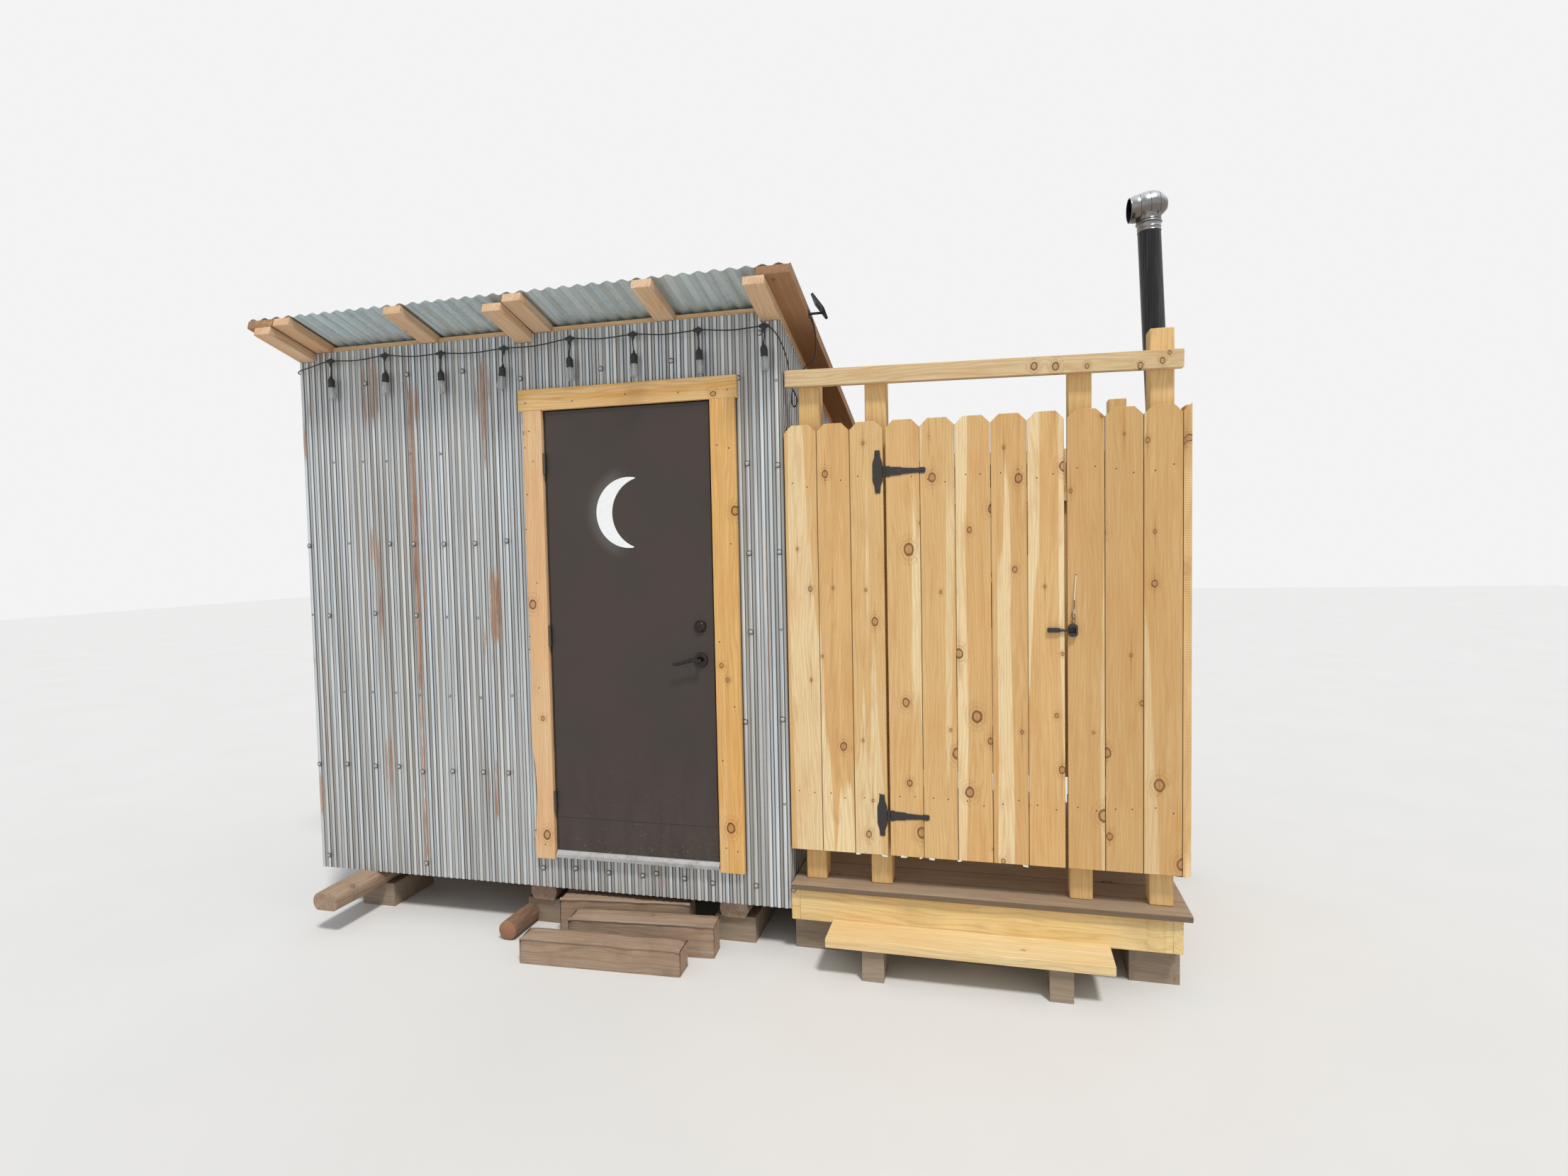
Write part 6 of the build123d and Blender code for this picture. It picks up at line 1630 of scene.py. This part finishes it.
# %% Bright steel
look = Look("bright_steel")
spot = look.place()
polish = look.drawn_out(spot, (60.0, 60.0, 240.0), 3.0, 0.6)
smear = look.clouds(spot, 16.0, 4.0, 0.6)
speck = look.clouds(spot, 190.0, 3.0, 0.7).step(0.66, 0.74)
x, _, z = look.parts(look.node("ShaderNodeNewGeometry", None, None, output=1))
# Painted reflection: the steel darkens where it faces down and to the left, as if it mirrored the ground, and in bands
# that follow its curve.
lower = (z.step(0.45, -0.25) + x.step(-0.35, -0.85) * 0.7).clipped()
seam = 1.0 - (look.stored("tone", 2) * 2.0).clipped()
painted_reflection_band = ((z * 5.2 + x * 1.4 + smear * 1.6).sine() * 0.5 + 0.5) ** 3.0
colour = look.mix(smear.step(0.35, 0.75) * 0.5, (0.64, 0.66, 0.68), (0.44, 0.46, 0.48))
colour = look.layered(colour, (lower * 0.88, (0.13, 0.10, 0.072)), (painted_reflection_band * 0.60, (0.11, 0.125, 0.125)),
                      (seam * 0.8, (0.07, 0.07, 0.07)), (speck * 0.5, (0.25, 0.23, 0.20)))
look.finish(Base_Color=colour, Metallic=0.95, Roughness=(0.15 + polish * 0.10 + smear * 0.10).clipped(),
            Normal=look.bump(polish, 0.06, 0.0005))
BRIGHT = look.material

# %% Collar and strap
BORE, SLEEVE, SPIGOT = 57.3, 58.8, 55.0
collar = Shape()
profile = [(BORE, 3388.0), (SLEEVE - 0.2, 3388.0), (SLEEVE + 0.6, 3389.5), (SLEEVE - 0.3, 3391.5),
           (SLEEVE - 0.3, 3406.0), (SLEEVE + 0.6, 3408.0), (SLEEVE - 0.3, 3410.0), (SLEEVE, 3428.0), (61.5, 3428.4),
           (64.0, 3430.4), (64.8, 3434.0), (64.0, 3437.6), (61.5, 3439.6), (58.0, 3440.0), (SPIGOT, 3440.0),
           (SPIGOT, 3462.8), (SPIGOT - 0.6, 3464.0), (SPIGOT - 1.5, 3464.0), (SPIGOT - 1.5, 3434.3), (BORE, 3434.3),
           (BORE, 3388.0)]
turned(collar, PIPE, profile, steps=56, caps=False)
collar.piece("vent_collar", BRIGHT, nodes=["vent_collar"], slot="bright_steel", angle=40)

strap = Shape()
BAND_Z = PICKET_FOOT + PICKET_L - 137.0
band_mid = BAND_Z / math.cos(LEAN)
profile = ((57.4, -15.0), (58.9, -15.0), (59.3, -14.0), (59.3, 14.0), (58.9, 15.0), (57.4, 15.0), (57.4, -15.0))
turned(strap, PIPE, [(r, band_mid + h) for r, h in profile], steps=56, caps=False)
reach = (PIPE_X - BAND_Z * math.tan(LEAN) - SIDE_FACE_X) * math.cos(LEAN)
for middle in (-1.05, 1.05):
    box_in(strap, PIPE, (-reach + 1.0, middle - 0.95, band_mid - 15.0), (-58.6, middle + 0.95, band_mid + 15.0), 0.4)
box_in(strap, Matrix.Translation(at(SIDE_FACE_X, PIPE_Y, BAND_Z)), (0.1, -40.0, -15.0), (2.2, 40.0, 15.0), 0.5)
for dy in (-29.0, 29.0):
    turned(strap, facing((SIDE_FACE_X + 2.0, PIPE_Y + dy, BAND_Z), RIGHT),
           ((5.0, 0.0), (4.8, 1.0), (2.6, 1.9)), steps=12)
bolt = PIPE @ Matrix.Translation((-0.078, 0.0, band_mid / 1000)) @ Matrix.Rotation(math.pi / 2, 4, "X")
turned(strap, bolt, ((4.2, -6.2), (4.2, -2.0), (2.4, -2.0), (2.4, 2.0), (4.2, 2.0), (4.2, 5.6), (3.2, 6.2)), steps=6)
STRAP_STEEL = galvanised("strap_steel", (0.42, 0.42, 0.42), (0.30, 0.30, 0.30), rust=0.2, valley_dirt_and_shade=0.0)
strap.piece("pipe_band", STRAP_STEEL, nodes=["pipe_strap"], slot="bright_steel", angle=30)

# %% Cowl
COWL = PIPE @ Matrix.Rotation(math.radians(5.0), 4, "Z")
HOOD_Z, FOOT_Z = PIPE_TOP + 91.0, PIPE_TOP + 11.0
HOOD = ((-95.0, 60.0), (-48.0, 69.0), (0.0, 73.0), (48.0, 65.0), (90.0, 33.0))
DROOP = 0.13


def hood_radius(x):
    """The hood's outer radius: a straight taper between the pressed seams."""
    for (x0, r0), (x1, r1) in zip(HOOD, HOOD[1:]):
        if x <= x1:
            return r0 + (r1 - r0) * (x - x0) / (x1 - x0)


hood = Shape()
outer = []
for (x0, _), (x1, _) in zip(HOOD, HOOD[1:]):
    for k in range(7):
        x = x0 + (x1 - x0) * k / 7
        outer.append((hood_radius(x) - 0.5 + 3.4 * math.sin(math.pi * k / 7) - (0.8 if k == 1 else 0.0), x))
bead = [(58.6, -95.0), (62.2, -95.0), (62.8, -94.0), (62.8, -92.0), (62.2, -91.0), (60.4, -91.0)]
inside = [(hood_radius(x) - 2.0, x) for x in (88.2, 70.0, 48.0, 24.0, 0.0, -20.0, -48.0, -70.0, -94.0)]
along_hood = COWL @ Matrix.Translation((0, 0, HOOD_Z / 1000)) @ Matrix.Rotation(math.pi / 2, 4, "Y")
turned(hood, along_hood, [(0.3, 88.4)] + inside + bead + outer[1:] + [(32.6, 90.0), (30.0, 90.0), (0.3, 90.0)],
       steps=56, caps=False)
for x in (-48.0, 0.0, 48.0):
    r = hood_radius(x)
    turned(hood, along_hood, ((r - 1.0, x - 2.6), (r - 0.1, x - 1.6), (r + 0.3, x), (r - 0.3, x + 1.6),
                              (r - 1.4, x + 2.6), (r - 1.6, x - 2.6)), steps=56, tone=0.0, caps=False)
back_to_cowl, down = COWL.inverted(), COWL.to_3x3() @ Vector((0, 0, -DROOP))
hood.points = [point + down * max(0.0, 0.02 - (back_to_cowl @ point).x) for point in hood.points]
hood.piece("cowl_hood", BRIGHT, body="cowl", nodes=["cowl"], slot="bright_steel", angle=28)
neck = Shape()
neck_top = HOOD_Z - FOOT_Z - 44.0
for profile in (((55.6, 0.0), (57.0, 0.0), (57.4, 1.5), (57.0, 3.0), (57.0, neck_top), (55.6, neck_top), (55.6, 0.0)),
                ((57.2, 0.2), (60.6, 0.2), (61.0, 2.0), (60.2, 4.0), (57.2, 4.0), (57.2, 0.2))):
    turned(neck, COWL, [(r, FOOT_Z + h) for r, h in profile], steps=56, caps=False)
TAB = ((0.3, 1.0, 60.4), (8, 1.0, 60.9), (15, 0.98, 61.6), (22, 0.72, 62.3), (28, 0.46, 62.8), (29.8, 0.30, 62.9))
for middle in around(12):
    rows = []
    for level, share, out in TAB:
        half = (math.pi / 12 - 0.012) * share
        angles = [middle + math.pi / 12 + half * (k / 3 - 1) for k in range(7)]
        rows.append([put(COWL, r * math.cos(a), r * math.sin(a), FOOT_Z + level)
                     for r, sweep in ((out, angles), (out - 1.2, angles[::-1])) for a in sweep])
    neck.loft(rows)
for a in around(6):
    out = (COWL.to_3x3() @ Vector((math.cos(a + math.pi / 12), math.sin(a + math.pi / 12), 0))).normalized()
    side = out.orthogonal().normalized()
    spot = put(COWL, 0, 0, FOOT_Z + 9.0) + out * 0.0612
    rivet = Matrix.Translation(spot) @ Matrix((side, out.cross(side), out)).transposed().to_4x4()
    turned(neck, rivet, ((2.4, -0.6), (2.3, 0.4), (1.4, 1.1), (0.4, 1.3)), steps=10)
neck.piece("cowl_neck", BRIGHT, body="cowl", slot="bright_steel", angle=30)
print("pipe and cowl are up")

# %% [markdown]
# The stage is a plain pale floor and a soft sky, with one broad sun from the upper right front as in
# the photo. Camera, mirror and glass rays see a pale even background.

# %% Floor, sky and sun
REACH = 30.0
corners = [(-REACH, -REACH, 0.0), (REACH, -REACH, 0.0), (REACH, REACH, 0.0), (-REACH, REACH, 0.0)]
floor_mesh = bpy.data.meshes.new("stage_floor")
floor_mesh.from_pydata(corners, [], [(0, 1, 2, 3)])
stage_floor = bpy.data.objects.new("stage_floor", floor_mesh)
bpy.context.collection.objects.link(stage_floor)
pale = painted("floor_paper", (0.68, 0.68, 0.675), (0.73, 0.73, 0.725), 1.2, rough=0.9, bump=None)
floor_mesh.materials.append(pale)

world = bpy.data.worlds.new("soft_sky")
bpy.context.scene.world = world
world.use_nodes = True
tree = world.node_tree
background = tree.nodes["Background"]
path = tree.nodes.new("ShaderNodeLightPath")
seen = path.outputs["Is Camera Ray"]
for ray in ("Is Glossy Ray", "Is Transmission Ray"):
    either = tree.nodes.new("ShaderNodeMath")
    either.operation = "MAXIMUM"
    tree.links.new(seen, either.inputs[0])
    tree.links.new(path.outputs[ray], either.inputs[1])
    seen = either.outputs[0]
blend = tree.nodes.new("ShaderNodeMix")
blend.data_type = "RGBA"
blend.inputs[6].default_value = (0.58, 0.60, 0.63, 1)
blend.inputs[7].default_value = (0.90, 0.90, 0.90, 1)
tree.links.new(seen, blend.inputs[0])
tree.links.new(blend.outputs[2], background.inputs["Color"])

sun = bpy.data.objects.new("sun", bpy.data.lights.new("sun", "SUN"))
sun.data.energy = 2.15
sun.data.angle = math.radians(9)
sun.data.color = (1.0, 0.97, 0.92)
sun.rotation_euler = Vector((0.30, -0.42, 0.85)).to_track_quat("Z", "Y").to_euler()
bpy.context.collection.objects.link(sun)
